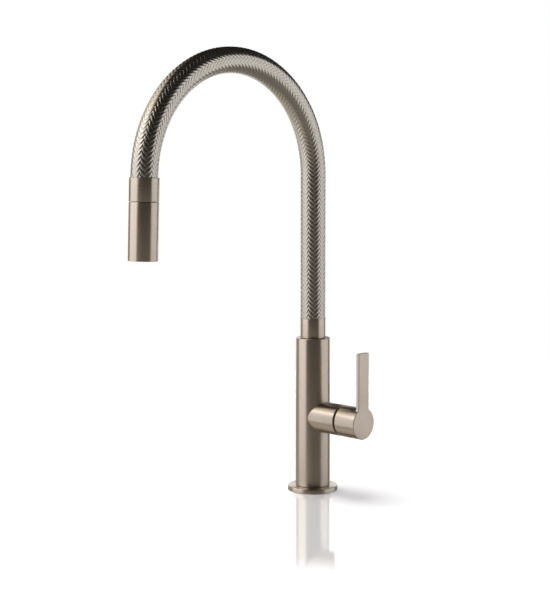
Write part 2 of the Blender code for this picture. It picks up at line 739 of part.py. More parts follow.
def make_dock(finishes, head_line):
    """The collar at the arch's free end, with the guide and the magnet that the head returns to."""
    edge = EDGE_CHAMFER
    collar = [
        (SLEEVE_BORE, COLLAR_START),
        (COLLAR_RADIUS - edge, COLLAR_START),
        (COLLAR_RADIUS, COLLAR_START + edge),
        (COLLAR_RADIUS, COLLAR_END - edge),
        (COLLAR_RADIUS - edge, COLLAR_END),
        (DOCK_BORE, COLLAR_END),
        (DOCK_BORE, DOCK_SHOULDER),
        (SLEEVE_BORE, DOCK_SHOULDER),
    ]
    place("dock_collar", turned("dock_collar", collar, SHELL_SEGMENTS), finishes["brushed_nickel"], head_line)

    guide_bore = 0.0070
    guide_height = 0.0032
    magnet_bore = 0.0076
    magnet_height = 0.0030
    guide_start = DOCK_SHOULDER + GAP
    guide_end = guide_start + guide_height
    magnet_start = guide_end + GAP
    magnet_end = magnet_start + magnet_height
    radius = DOCK_BORE - GAP
    guide = ring_outline(guide_bore, radius, guide_start, guide_end)
    magnet = ring_outline(magnet_bore, radius, magnet_start, magnet_end)
    place("dock_guide", turned("dock_guide", guide, INNER_SEGMENTS), finishes["grey_plastic"], head_line)
    place("dock_magnet", turned("dock_magnet", magnet, INNER_SEGMENTS), finishes["dark_steel"], head_line)
    return magnet_end


# ---------------------------------------------------------------- hose


def lower_hose_stations():
    """Stations from the spout's shank down past the valve to the shank's mouth, in the XZ plane."""
    bend_top = HOSE_JOIN - GAP
    bend_bottom = VALVE_HEIGHT + CORE_HALF_HEIGHT
    steps = 8
    stations = []
    for k in range(steps + 1):
        share = k / steps
        across = HOSE_OFFSET * (1 - cos(pi * share)) / 2
        height = bend_top + (bend_bottom - bend_top) * share
        slope = HOSE_OFFSET * pi * sin(pi * share) / 2
        direction = Vector((slope, 0, bend_bottom - bend_top)).normalized()
        stations.append((Vector((across, 0, height)), direction))
    stations.append((Vector((HOSE_OFFSET, 0, HOSE_FITTING_TOP + GAP)), Vector((0, 0, -1))))
    return stations


def make_hose(finishes, spout):
    """The pressure hose: its run in the spout, its run in the body and its end fitting."""
    upper = swept_tube(
        "pull_out_hose",
        spout_stations(HOSE_JOIN, COLLAR_START, ARCH_STEPS),
        (1, 0, 0),
        HOSE_RADIUS,
        HOSE_BORE,
        HOSE_SEGMENTS,
    )
    lower = swept_tube("body_hose", lower_hose_stations(), (0, 1, 0), HOSE_RADIUS, HOSE_BORE, HOSE_SEGMENTS)
    place("pull_out_hose", upper, finishes["hose_nylon"], spout)
    place("body_hose", lower, finishes["hose_nylon"])

    sleeve = 0.0061
    nipple = 0.0050
    nipple_top = HOSE_FITTING_BOTTOM + 0.0080
    fitting = [
        (NIPPLE_BORE, HOSE_FITTING_BOTTOM),
        (nipple, HOSE_FITTING_BOTTOM),
        (nipple, nipple_top),
        (sleeve, nipple_top),
        (sleeve, HOSE_FITTING_TOP),
        (NIPPLE_BORE, HOSE_FITTING_TOP),
    ]
    mesh = turned("hose_end_fitting", fitting, SMALL_SEGMENTS)
    place("hose_end_fitting", mesh, finishes["brass"], None, (HOSE_OFFSET, 0, 0))


def make_hose_tail(finishes, head_line, tail_end):
    """The short run between dock and head, and the fitting that the head screws to."""
    tail = ring_outline(HOSE_BORE, HOSE_RADIUS, COLLAR_START + GAP, tail_end)
    place("hose_tail", turned("hose_tail", tail, HOSE_SEGMENTS), finishes["hose_nylon"], head_line)
    fitting_length = 0.0090
    fitting_radius = 0.0062
    fitting_start = tail_end + GAP
    fitting_end = fitting_start + fitting_length
    fitting = ring_outline(NIPPLE_BORE, fitting_radius, fitting_start, fitting_end, EDGE_CHAMFER)
    place("hose_fitting", turned("hose_fitting", fitting, SMALL_SEGMENTS), finishes["brass"], head_line)
    return fitting_end


# ---------------------------------------------------------------- spray head


def make_head_shell(finishes, head_line):
    """The visible cylinder, closed round the neck at its top and open below."""
    edge = EDGE_CHAMFER
    roof = HEAD_START + 0.0020
    neck_hole = 0.0113
    outline = [
        (neck_hole, HEAD_START),
        (HEAD_RADIUS - edge, HEAD_START),
        (HEAD_RADIUS, HEAD_START + edge),
        (HEAD_RADIUS, HEAD_END - edge),
        (HEAD_RADIUS - edge, HEAD_END),
        (HEAD_BORE, HEAD_END),
        (HEAD_BORE, roof),
        (neck_hole, roof),
    ]
    place("head_shell", turned("head_shell", outline, SHELL_SEGMENTS), finishes["brushed_nickel"], head_line)
    return roof


def make_head_inside(finishes, head_line, magnet_end, roof, fitting_end):
    """What fills the head, from the ring that meets the magnet down to the aerator."""
    neck = 0.0110
    core_radius = HEAD_BORE - GAP
    socket = 0.0069
    way = 0.0032  # the water's way through the web in the core
    web_thickness = 0.0050
    ring_start = magnet_end + 2 * GAP
    ring_end = ring_start + 0.0015
    washer_start = fitting_end + GAP
    washer_end = washer_start + 0.0015
    valve_start = washer_end + GAP
    valve_end = valve_start + 0.0080
    web = valve_end + GAP
    chamber = web + web_thickness
    core_end = 0.0660
    chamber_radius = 0.0114
    core = [
        (socket, ring_end + GAP),
        (neck, ring_end + GAP),
        (neck, roof + GAP),
        (core_radius, roof + GAP),
        (core_radius, core_end),
        (chamber_radius, core_end),
        (chamber_radius, chamber),
        (way, chamber),
        (way, web),
        (socket, web),
    ]
    insert = socket - GAP
    disc_start = chamber + 0.0010
    disc_end = disc_start + 0.0025
    disc_radius = chamber_radius - GAP
    face_end = HEAD_END - 0.0006
    aerator_radius = 0.0100
    face_bore = aerator_radius + GAP
    pieces = {
        "head_core": (core, "white_plastic"),
        "docking_ring": (ring_outline(0.0074, neck, ring_start, ring_end), "stainless_steel"),
        "head_washer": (ring_outline(NIPPLE_BORE, insert, washer_start, washer_end), "black_rubber"),
        "check_valve": (ring_outline(0.0030, insert, valve_start, valve_end), "white_plastic"),
        "flow_regulator": (ring_outline(0.0020, disc_radius, disc_start, disc_end), "white_plastic"),
        "face_ring": (ring_outline(face_bore, core_radius, core_end + GAP, face_end), "grey_plastic"),
        "aerator": (aerator_outline(aerator_radius, core_end, face_end), "stainless_steel"),
    }
    for name, (outline, finish) in pieces.items():
        place(name, turned(name, outline, INNER_SEGMENTS), finishes[finish], head_line)


def aerator_outline(radius, core_end, face_end):
    """A disc with a shallow recess in its lower face, between the core's end and the head's face."""
    rim = 0.0012
    recess = 0.0010
    start = core_end + 0.0020
    end = face_end - 0.0005
    return [
        (0, start),
        (radius, start),
        (radius, end),
        (radius - rim, end),
        (radius - rim, end - recess),
        (0, end - recess),
    ]


# ---------------------------------------------------------------- assembly


def main():
    clear_scene()
    finishes = make_materials()

    make_base_flange(finishes["brushed_nickel"])
    make_base_gasket(finishes["black_rubber"])
    make_body_column(finishes["brushed_nickel"])
    make_mixing_core(finishes["brass"])
    make_deck_fixing(finishes)

    turning = make_empty("handle_turn_axis", (0, 0, VALVE_HEIGHT))
    lifting = make_empty("handle_lift_axis", (PIVOT, 0, 0), turning)
    valve = make_empty("valve_axis", (0, 0, VALVE_HEIGHT))
    fixed_disc_end = make_cartridge(finishes, valve)
    make_rotor(finishes, turning)
    socket_floor = make_moving_disc(finishes, turning, fixed_disc_end)
    make_stem(finishes, lifting, socket_floor + FINGER_GAP)
    make_handle(finishes, lifting)

    spout = make_empty("spout_swivel_axis", (0, 0, 0))
    bend_end, _ = spout_line(ARCH_SPRING + ARCH_RADIUS * ARCH_SWEEP)
    head_line = make_empty("head_axis", bend_end, spout, (pi - HEAD_LEAN, 0, 0))
    make_ferrule(finishes, spout)
    make_swivel_bushing(finishes)
    make_arch(finishes, spout)
    magnet_end = make_dock(finishes, head_line)
    make_hose(finishes, spout)
    roof = make_head_shell(finishes, head_line)
    fitting_end = make_hose_tail(finishes, head_line, HEAD_START + 0.0012)
    make_head_inside(finishes, head_line, magnet_end, roof, fitting_end)


main()
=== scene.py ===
"""Looks of the single-lever kitchen faucet: surfaces, materials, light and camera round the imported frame.

Lengths are in metres. +Z is up, the origin lies on the body's axis in the plane of the deck, the spout
reaches towards -Y and the lever is on the +X side.
"""

import json
from math import acos, atan2, ceil, cos, pi, radians, sin, sqrt, tan

import bmesh
import bpy
from mathutils import Matrix, Vector


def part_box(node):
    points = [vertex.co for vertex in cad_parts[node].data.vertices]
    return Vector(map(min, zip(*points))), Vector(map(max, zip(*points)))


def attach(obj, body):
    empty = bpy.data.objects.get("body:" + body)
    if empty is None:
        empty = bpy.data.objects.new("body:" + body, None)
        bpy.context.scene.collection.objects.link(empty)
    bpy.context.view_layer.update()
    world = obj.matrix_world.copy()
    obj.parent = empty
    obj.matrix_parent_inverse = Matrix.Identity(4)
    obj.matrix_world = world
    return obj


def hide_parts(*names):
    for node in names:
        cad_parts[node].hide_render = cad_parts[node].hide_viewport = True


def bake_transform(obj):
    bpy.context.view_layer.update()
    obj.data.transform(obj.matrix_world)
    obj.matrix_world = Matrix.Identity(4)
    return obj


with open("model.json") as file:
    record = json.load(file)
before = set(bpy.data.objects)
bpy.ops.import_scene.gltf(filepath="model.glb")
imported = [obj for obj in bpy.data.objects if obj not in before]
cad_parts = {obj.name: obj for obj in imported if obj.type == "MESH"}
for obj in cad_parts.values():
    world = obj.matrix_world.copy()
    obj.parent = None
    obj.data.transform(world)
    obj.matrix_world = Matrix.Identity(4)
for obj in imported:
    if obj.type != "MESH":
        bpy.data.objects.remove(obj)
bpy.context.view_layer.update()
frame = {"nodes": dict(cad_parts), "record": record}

NODES = frame["nodes"]


def radius_of(node):
    """Half of a turned node's width across the body."""
    low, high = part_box(node)
    return (high.x - low.x) / 2


# ---------------------------------------------------------------- dimensions

SEGMENTS = 128  # round the large turned pieces
SMALL_SEGMENTS = 48
FILLET_STEPS = 4
EDGE = 0.0005  # rounding of an outer edge

GAP = 0.0003  # dark line between two pieces that meet

BODY_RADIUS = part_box("body_column")[1].y
BODY_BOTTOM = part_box("body_column")[0].z
BODY_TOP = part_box("body_column")[1].z
BODY_BORE = 0.0167
LID_HOLE = 0.0123
LID_THICKNESS = 0.0035

VALVE_HEIGHT = 0.0829
BARREL_RADIUS = 0.0170
BARREL_START = 0.0060  # inside the column
BARREL_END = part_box("body_column")[1].x
VALVE_BORE = 0.0131
VALVE_BORE_END = 0.06  # outside the barrel
STEM_HOLE = 0.0070

PIVOT = 0.0368
LIFT_ANGLE = radians(14)
RIM = 0.0473
HANDLE_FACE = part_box("lever_handle")[1].x
HANDLE_RADIUS = BARREL_RADIUS
CAVITY_RADIUS = 0.0144
CAVITY_FLOOR = 0.0660
BOSS_RADIUS = 0.0068
BOSS_START = 0.0500
STEM_HALF = 0.0035
BLADE_THICKNESS = 0.0038
BLADE_HALF_WIDTH = 0.0082
BLADE_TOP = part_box("lever_handle")[1].z - VALVE_HEIGHT
BLADE_FILLET = 0.0030
BLADE_CORNER = 0.0012
LEVER_EDGE = 0.0007  # rounding of the lever's outer edges
PLUG_X = 0.0580
ROUND_STEPS = 120  # round the lever's round end

FERRULE_RADIUS = radius_of("spout_ferrule")
FERRULE_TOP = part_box("spout_ferrule")[1].z
FERRULE_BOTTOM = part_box("spout_ferrule")[0].z
FERRULE_SHANK = 0.0119
FERRULE_BORE = 0.0089
TUBE_SEAT = 0.1777  # height where the arch tube stands in the ferrule
TUBE_RADIUS = 0.0109
ARCH_SPRING = 0.3486  # height where the bend starts
ARCH_RADIUS = 0.1212
HEAD_LEAN = radians(1.75)
ARCH_SWEEP = pi - HEAD_LEAN
BEND_END = ARCH_SPRING + ARCH_RADIUS * ARCH_SWEEP  # distance along the spout's centreline
SIDE = Vector((1, 0, 0))

# Dock and head: distances past the end of the bend, along the head's own axis
COLLAR_RADIUS = 0.01515
COLLAR_START = 0.0019
COLLAR_END = 0.0254
DOCK_SHOULDER = 0.0120
DOCK_BORE = 0.0123
HEAD_RADIUS = 0.0151
HEAD_START = 0.0258
HEAD_END = 0.0838
HEAD_BORE = 0.0135
HEAD_NECK = 0.0113
FACE_START = 0.0663
FACE_END = 0.0832
AERATOR_RADIUS = 0.0100
AERATOR_WALL = 0.0009
AERATOR_START = 0.0680
AERATOR_END = FACE_END - 0.0005
HOSE_RADIUS = 0.0058
HOSE_BORE = 0.0039
TAIL_START = 0.0022
TAIL_END = 0.0270

# Braid
CARRIERS = 14  # strands that wind each way
STRAND_LEAD = 0.0702  # distance along the spout for one turn
STRAND_WIDTH = 0.0041
STRAND_CROWN = 0.00037
STRAND_UNDERSIDE = -0.00025
STRAND_FOOT = 0.75  # width of a strand's underside, as a share of its whole width
WEAVE_MIDDLE = 0.01330
WEAVE_DEPTH = 0.00018
WEAVE_TURN = radians(-3)
LINER_RADIUS = 0.0128
LINER_BORE = 0.0110
TUCK = 0.0010  # how far the braid goes into the ferrule and the collar
BRAID_START = FERRULE_TOP - TUCK
BRAID_END = BEND_END + COLLAR_START + TUCK
STRAND_STEP = 0.00085

# Stage
FLOOR_RADIUS = 0.85
FLOOR_HEIGHT = -0.0002
CAMERA_AZIMUTH = radians(43.028)
CAMERA_DISTANCE = 1.6306
CAMERA_HEIGHT = 0.3863
CAMERA_TILT = radians(4.1)  # down from the level
CAMERA_TURN = radians(44.5)
CAMERA_LENS = 90.75
CAMERA_SHIFT = -0.08
LEFT_OF_CAMERA = CAMERA_AZIMUTH - pi  # turns measured round from +X
BEHIND_OBJECT = CAMERA_AZIMUTH + pi / 2


# ---------------------------------------------------------------- mesh tools


def spout_line(distance):
    """Centre and direction of the spout's centreline, at a distance along it from the deck."""
    turn = (distance - ARCH_SPRING) / ARCH_RADIUS
    if turn <= 0:
        return Vector((0, 0, distance)), Vector((0, 0, 1))
    bent = min(turn, ARCH_SWEEP)
    centre = Vector((0, ARCH_RADIUS * (cos(bent) - 1), ARCH_SPRING + ARCH_RADIUS * sin(bent)))
    direction = Vector((0, -sin(bent), cos(bent)))
    beyond = (turn - bent) * ARCH_RADIUS
    return centre + beyond * direction, direction


def head_frame():
    """Matrix whose +Z runs down the head's axis, with its origin at the end of the bend."""
    centre, _ = spout_line(BEND_END)
    return Matrix.Translation(centre) @ Matrix.Rotation(pi - HEAD_LEAN, 4, "X")


def valve_frame():
    """Matrix whose +Z runs out along the side valve's axis, with +X pointing down."""
    return Matrix.Translation((0, 0, VALVE_HEIGHT)) @ Matrix.Rotation(pi / 2, 4, "Y")


def soften(corners, steps=FILLET_STEPS):
    """A closed outline of (radius, height) from corners of (radius, height, fillet radius)."""
    outline = []
    for i, (radius, height, fillet) in enumerate(corners):
        corner = Vector((radius, height))
        if not fillet:
            outline.append(corner)
            continue
        back = (Vector(corners[i - 1][:2]) - corner).normalized()
        ahead = (Vector(corners[(i + 1) % len(corners)][:2]) - corner).normalized()
        half = acos(max(-1, min(1, back.dot(ahead)))) / 2
        centre = corner + (back + ahead).normalized() * (fillet / sin(half))
        first = corner + back * (fillet / tan(half)) - centre
        last = corner + ahead * (fillet / tan(half)) - centre
        start = atan2(first.y, first.x)
        sweep = (atan2(last.y, last.x) - start + pi) % (2 * pi) - pi
        for k in range(steps + 1):
            turn = start + sweep * k / steps
            outline.append(centre + fillet * Vector((cos(turn), sin(turn))))
    return outline


def join_rings(shape, near, far):
    """Faces between two rings of vertices, either of which may be a single point."""
    count = max(len(near), len(far))
    if count == 1:
        return
    for k in range(count):
        corners = []
        for vertex in (near[k - 1 if len(near) > 1 else 0], near[k % len(near)]):
            if vertex not in corners:
                corners.append(vertex)
        for vertex in (far[k % len(far)], far[k - 1 if len(far) > 1 else 0]):
            if vertex not in corners:
                corners.append(vertex)
        shape.faces.new(corners)


def lathe(outline, where=Matrix.Identity(4), segments=SEGMENTS):
    """A closed solid turned about local Z from a closed outline of (radius, height)."""
    shape = bmesh.new()
    rings = []
    for radius, height in outline:
        if radius < 1e-6:
            rings.append([shape.verts.new(where @ Vector((0, 0, height)))])
            continue
        turns = [2 * pi * k / segments for k in range(segments)]
        points = [where @ Vector((radius * cos(turn), radius * sin(turn), height)) for turn in turns]
        rings.append([shape.verts.new(point) for point in points])
    for near, far in zip(rings, rings[1:] + rings[:1]):
        join_rings(shape, near, far)
    return shape


def loft(rings):
    """A closed solid through closed rings of points, its first and last ring bridged to each other."""
    shape = bmesh.new()
    made = [[shape.verts.new(point) for point in ring] for ring in rings]
    for near, far in zip(made, made[1:] + made[:1]):
        join_rings(shape, near, far)
    bmesh.ops.remove_doubles(shape, verts=shape.verts[:], dist=1e-7)
    bmesh.ops.dissolve_degenerate(shape, edges=shape.edges[:], dist=1e-7)
    return shape


def tube_along(stations, outer, inner, segments):
    """A hollow tube through (centre, direction) stations."""
    rings = []
    for radius, run in ((outer, stations), (inner, stations[::-1])):
        for centre, direction in run:
            across = SIDE.cross(direction)
            turns = [2 * pi * k / segments for k in range(segments)]
            rings.append([centre + radius * (cos(turn) * SIDE + sin(turn) * across) for turn in turns])
    return loft(rings)


def finished(name, shape, materials, sharp=32):
    """An object from a bmesh, with its faces pointing out and its round sides smooth."""
    bmesh.ops.recalc_face_normals(shape, faces=shape.faces[:])
    mesh = bpy.data.meshes.new(name)
    shape.to_mesh(mesh)
    shape.free()
    for material in materials:
        mesh.materials.append(material)
    mesh.shade_smooth()
    mesh.set_sharp_from_angle(angle=radians(sharp))
    piece = bpy.data.objects.new(name, mesh)
    bpy.context.scene.collection.objects.link(piece)
    return piece


def add_piece(name, shape, material, body, slot, *replaced):
    """A finished piece that rides on a body and takes the place of CAD nodes; its slot argument is not used.
    """
    piece = finished(name, shape, [material])
    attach(piece, body)
    if replaced:
        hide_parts(*replaced)
    return piece


def with_booleans(piece, steps):
    """Apply Boolean steps of (operation, bmesh) to a piece and keep the result as its mesh."""
    tools = []
    for operation, shape in steps:
        tool = finished("tool", shape, [])
        modifier = piece.modifiers.new("step", "BOOLEAN")
        modifier.object = tool
        modifier.operation = operation
        modifier.solver = "EXACT"
        tools.append(tool)
    bpy.context.view_layer.update()
    seen = piece.evaluated_get(bpy.context.evaluated_depsgraph_get())
    result = bpy.data.meshes.new_from_object(seen)
    piece.modifiers.clear()
    piece.data = result
    for tool in tools:
        bpy.data.objects.remove(tool, do_unlink=True)


# ---------------------------------------------------------------- material tools


def new_material(name):
    """A material with its node tree and its Principled shader."""
    material = bpy.data.materials.new(name)
    material.use_nodes = True
    return material, material.node_tree, material.node_tree.nodes["Principled BSDF"]


def add_node(tree, kind, settings=(), inputs=()):
    """A node with its settings and its input values; an input given as a socket is linked."""
    node = tree.nodes.new(kind)
    for name, value in dict(settings).items():
        setattr(node, name, value)
    for name, value in dict(inputs).items():
        if isinstance(value, bpy.types.NodeSocket):
            tree.links.new(value, node.inputs[name])
        else:
            node.inputs[name].default_value = value
    return node


def object_place(tree, stretch=(1, 1, 1)):
    """Object coordinates multiplied by stretch, so that a texture can run in lines."""
    coordinates = tree.nodes.new("ShaderNodeTexCoord")
    inputs = {"Vector": coordinates.outputs["Object"], "Scale": stretch}
    return add_node(tree, "ShaderNodeMapping", inputs=inputs).outputs["Vector"]


def noise(tree, place, scale, detail=3.0):
    """Cloudy noise, mostly between 0.3 and 0.7."""
    inputs = {"Vector": place, "Scale": scale, "Detail": detail}
    return add_node(tree, "ShaderNodeTexNoise", inputs=inputs).outputs["Fac"]


def spread(tree, value, low, high):
    """A noise value from 0.3 to 0.7 mapped onto low to high."""
    inputs = {"Value": value, "From Min": 0.3, "From Max": 0.7, "To Min": low, "To Max": high}
    return add_node(tree, "ShaderNodeMapRange", inputs=inputs).outputs["Result"]


def mixed_colour(tree, factor, first, second):
    """The colour between first and second at a factor from 0 to 1."""
    node = add_node(tree, "ShaderNodeMix", {"data_type": "RGBA"})
    tree.links.new(factor, node.inputs["Factor"])
    for socket, colour in (("A", first), ("B", second)):
        target = [s for s in node.inputs if s.name == socket and s.type == "RGBA"][0]
        target.default_value = (*colour, 1)
    return [s for s in node.outputs if s.type == "RGBA"][0]


def shaded(colour, share):
    """A colour made darker or lighter by a share."""
    return tuple(min(1.0, part * share) for part in colour)


def ramp(tree, value, start, end):
    """From 0 to 1 as a value goes from start to end, eased at both."""
    settings = {"interpolation_type": "SMOOTHSTEP"}
    inputs = {"Value": value, "From Min": start, "From Max": end}
    return add_node(tree, "ShaderNodeMapRange", settings, inputs).outputs["Result"]


def plus(tree, first, second, share):
    """First, plus a share of second."""
    settings = {"operation": "MULTIPLY_ADD"}
    return add_node(tree, "ShaderNodeMath", settings, {0: second, 1: share, 2: first}).outputs["Value"]


def times(tree, first, second):
    """First multiplied by second."""
    return add_node(tree, "ShaderNodeMath", {"operation": "MULTIPLY"}, {0: first, 1: second}).outputs["Value"]


def dot(tree, place, line):
    """How far a place lies along a line."""
    node = add_node(tree, "ShaderNodeVectorMath", {"operation": "DOT_PRODUCT"}, {0: place, 1: line})
    return node.outputs["Value"]


def add_bump(tree, shader, height, strength, distance):
    """Raise a shader's surface where height is large."""
    inputs = {"Height": height, "Strength": strength, "Distance": distance}
    bump = add_node(tree, "ShaderNodeBump", inputs=inputs)
    tree.links.new(bump.outputs["Normal"], shader.inputs["Normal"])


def brushed_metal(name, colour, roughness, axis, stretch):
    """Metal brushed round an axis: fine lines in colour, roughness and surface, and stretched highlights."""
    material, tree, shader = new_material(name)
    lines = noise(tree, object_place(tree, stretch), 1.0, 4.0)
    clouds = noise(tree, object_place(tree), 55.0, 2.0)
    tree.links.new(
        mixed_colour(tree, spread(tree, lines, 0, 1), shaded(colour, 0.96), shaded(colour, 1.04)),
        shader.inputs["Base Color"],
    )
    both = add_node(tree, "ShaderNodeMath", {"operation": "ADD"}, {0: lines, 1: clouds}).outputs["Value"]
    limits = {"From Min": 0.7, "From Max": 1.3, "To Min": roughness - 0.04, "To Max": roughness + 0.04}
    inputs = {"Value": both, **limits}
    uneven = add_node(tree, "ShaderNodeMapRange", inputs=inputs).outputs["Result"]
    tree.links.new(uneven, shader.inputs["Roughness"])
    shader.inputs["Metallic"].default_value = 1.0
    shader.inputs["Anisotropic"].default_value = 0.80
    shader.inputs["Anisotropic Rotation"].default_value = 0.25
    tangent = add_node(tree, "ShaderNodeTangent", {"direction_type": "RADIAL", "axis": axis})
    tree.links.new(tangent.outputs["Tangent"], shader.inputs["Tangent"])
    add_bump(tree, shader, lines, 0.06, 0.00002)
    return material


def machined_metal(name, colour, roughness, grain=900.0, metallic=1.0):
    """Metal or ceramic with a fine even grain and faint clouds."""
    material, tree, shader = new_material(name)
    place = object_place(tree)
    fine = noise(tree, place, grain, 3.0)
    clouds = noise(tree, place, 70.0, 2.0)
    tree.links.new(
        mixed_colour(tree, spread(tree, clouds, 0, 1), shaded(colour, 0.90), shaded(colour, 1.07)),
        shader.inputs["Base Color"],
    )
    tree.links.new(spread(tree, fine, roughness - 0.06, roughness + 0.06), shader.inputs["Roughness"])
    shader.inputs["Metallic"].default_value = metallic
    add_bump(tree, shader, fine, 0.15, 0.00003)
    return material


def moulded_plastic(name, colour, roughness):
    """Plastic or rubber with the fine pitted skin of a mould."""
    material, tree, shader = new_material(name)
    place = object_place(tree)
    inputs = {"Vector": place, "Scale": 1400.0}
    cells = add_node(tree, "ShaderNodeTexVoronoi", inputs=inputs).outputs["Distance"]
    clouds = noise(tree, place, 120.0, 2.0)
    tree.links.new(
        mixed_colour(tree, spread(tree, clouds, 0, 1), shaded(colour, 0.88), shaded(colour, 1.10)),
        shader.inputs["Base Color"],
    )
    tree.links.new(spread(tree, clouds, roughness - 0.05, roughness + 0.05), shader.inputs["Roughness"])
    add_bump(tree, shader, cells, 0.20, 0.00004)
    return material


def braided_hose(name, colour):
    """Nylon hose cover: a fine diagonal weave in its surface, with painted shade in its dips and a painted
    sheen on its raised threads.
    """
    material, tree, shader = new_material(name)
    waves = []
    for tilt in (0.8, -0.8):
        place = object_place(tree)
        turned = add_node(tree, "ShaderNodeMapping", inputs={"Vector": place, "Rotation": (tilt, tilt, 0)})
        inputs = {"Vector": turned.outputs["Vector"], "Scale": 260.0, "Distortion": 0.4}
        settings = {"bands_direction": "Z"}
        waves.append(add_node(tree, "ShaderNodeTexWave", settings, inputs).outputs["Fac"])
    inputs = {0: waves[0], 1: waves[1]}
    weave = add_node(tree, "ShaderNodeMath", {"operation": "MAXIMUM"}, inputs).outputs["Value"]
    # painted shade and sheen: the colour is darker where the weave dips and lighter where it rises
    tree.links.new(
        mixed_colour(tree, weave, shaded(colour, 0.55), shaded(colour, 1.6)), shader.inputs["Base Color"]
    )
    tree.links.new(spread(tree, weave, 0.55, 0.45), shader.inputs["Roughness"])
    add_bump(tree, shader, weave, 0.5, 0.00015)
    return material


def strand_steel(name, colour, roughness):
    """The braid's flat strands: four wires side by side, each with its own groove and a slight difference,
    with painted shade in the grooves.
    """
    material, tree, shader = new_material(name)
    across = add_node(tree, "ShaderNodeAttribute", {"attribute_name": "across"}).outputs["Fac"]
    turns = times(tree, across, 4 * pi)
    wires = add_node(tree, "ShaderNodeMath", {"operation": "COSINE"}, {0: turns}).outputs["Value"]
    inputs = {"Value": wires, "From Min": -1.0, "From Max": 1.0}
    groove = add_node(tree, "ShaderNodeMapRange", inputs=inputs).outputs["Result"]
    clouds = noise(tree, object_place(tree), 160.0, 3.0)
    # painted shade: the colour darkens into the groove between the wires, by an amount that varies with the
    # clouds
    factor = times(tree, spread(tree, clouds, 0.6, 1.0), groove)
    tree.links.new(
        mixed_colour(tree, factor, shaded(colour, 1.04), shaded(colour, 0.90)), shader.inputs["Base Color"]
    )
    tree.links.new(spread(tree, clouds, roughness - 0.04, roughness + 0.05), shader.inputs["Roughness"])
    shader.inputs["Metallic"].default_value = 1.0
    add_bump(tree, shader, plus(tree, 1.0, groove, -1.0), 0.15, 0.00010)
    return material


def make_finishes():
    """The record's slots, each with its material, then the nickel brushed along other lines and the liner."""
    nickel = (0.62, 0.545, 0.47)
    return {
        "brushed_nickel": brushed_metal("nickel_turned", nickel, 0.33, "Z", (60, 60, 5200)),
        "nickel_side": brushed_metal("nickel_side", nickel, 0.35, "X", (5200, 60, 60)),
        "nickel_blade": brushed_metal("nickel_blade", shaded(nickel, 0.97), 0.30, "X", (60, 5200, 60)),
        "braided_steel": strand_steel("braid_strand", (0.585, 0.552, 0.50), 0.25),
        "brass": machined_metal("brass", (0.60, 0.43, 0.19), 0.34),
        "stainless_steel": machined_metal("stainless_steel", (0.58, 0.57, 0.55), 0.30),
        # near black: the dome's dark steel, which also paints the shade in the slit behind the lever
        "dark_steel": machined_metal("dark_steel", (0.10, 0.10, 0.11), 0.42),
        "black_rubber": moulded_plastic("black_rubber", (0.022, 0.022, 0.023), 0.78),
        "ceramic": machined_metal("ceramic", (0.82, 0.81, 0.77), 0.22, 500.0, 0.0),
        "white_plastic": moulded_plastic("white_plastic", (0.74, 0.74, 0.72), 0.45),
        "grey_plastic": moulded_plastic("grey_plastic", (0.15, 0.15, 0.155), 0.50),
        "hose_nylon": braided_hose("hose_nylon", (0.075, 0.075, 0.08)),
        # dark grey: partly the liner's own colour, partly painted shade for the gaps between the strands
        "liner": machined_metal("braid_liner", (0.30, 0.29, 0.27), 0.38),
    }


# ---------------------------------------------------------------- base and body


def make_flange(finishes):
    """The round foot, its upper edge rounded, with the gasket's groove underneath."""
    low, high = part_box("base_flange")
    upper_edge = 0.0009
    groove_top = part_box("base_gasket")[1].z + GAP
    groove_outer = radius_of("base_gasket") + GAP
    groove_inner = 0.0217
    outline = soften([
        (BODY_BORE, low.z, 0),
        (groove_inner, low.z, 0),
        (groove_inner, groove_top, 0),
        (groove_outer, groove_top, 0),
        (groove_outer, low.z, 0),
        (high.y, low.z, EDGE / 2),
        (high.y, high.z, upper_edge),
        (BODY_BORE, high.z, 0),
    ])
    add_piece("foot", lathe(outline), finishes["brushed_nickel"], "base", "brushed_nickel", "base_flange")


def make_body(finishes):
    """The column with its side barrel, bored from below and from the side."""
    column = soften([
        (0, BODY_BOTTOM, 0),
        (BODY_RADIUS, BODY_BOTTOM, EDGE),
        (BODY_RADIUS, BODY_TOP, 0.0007),
        (0, BODY_TOP, 0),
    ])
    barrel = soften([
        (0, BARREL_START, 0),
        (BARREL_RADIUS, BARREL_START, 0),
        (BARREL_RADIUS, BARREL_END, EDGE),
        (0, BARREL_END, 0),
    ])
    lid = BODY_TOP - LID_THICKNESS
    above = BODY_TOP + LID_THICKNESS
    bore = [(0, 0), (BODY_BORE, 0), (BODY_BORE, lid), (LID_HOLE, lid), (LID_HOLE, above), (0, above)]
    side_bore = [(0, 0), (VALVE_BORE, 0), (VALVE_BORE, VALVE_BORE_END), (0, VALVE_BORE_END)]
    side_segments = SEGMENTS - 4  # a count of its own, so that its edges fall beside the barrel's
    piece = finished("column", lathe(column), [finishes["brushed_nickel"], finishes["nickel_side"]])
    with_booleans(piece, [
        ("UNION", lathe(barrel, valve_frame())),
        ("DIFFERENCE", lathe(bore)),
        ("DIFFERENCE", lathe(side_bore, valve_frame(), side_segments)),
    ])
    for face in piece.data.polygons:
        centre = face.center
        beyond = centre.x > 0 and Vector((centre.x, centre.y)).length > BODY_RADIUS + 0.0001
        face.material_index = 1 if beyond and abs(centre.z - VALVE_HEIGHT) < BARREL_RADIUS + 0.001 else 0
    piece.data.shade_smooth()
    piece.data.set_sharp_from_angle(angle=radians(25))
    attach(piece, "base")
    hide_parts("body_column")


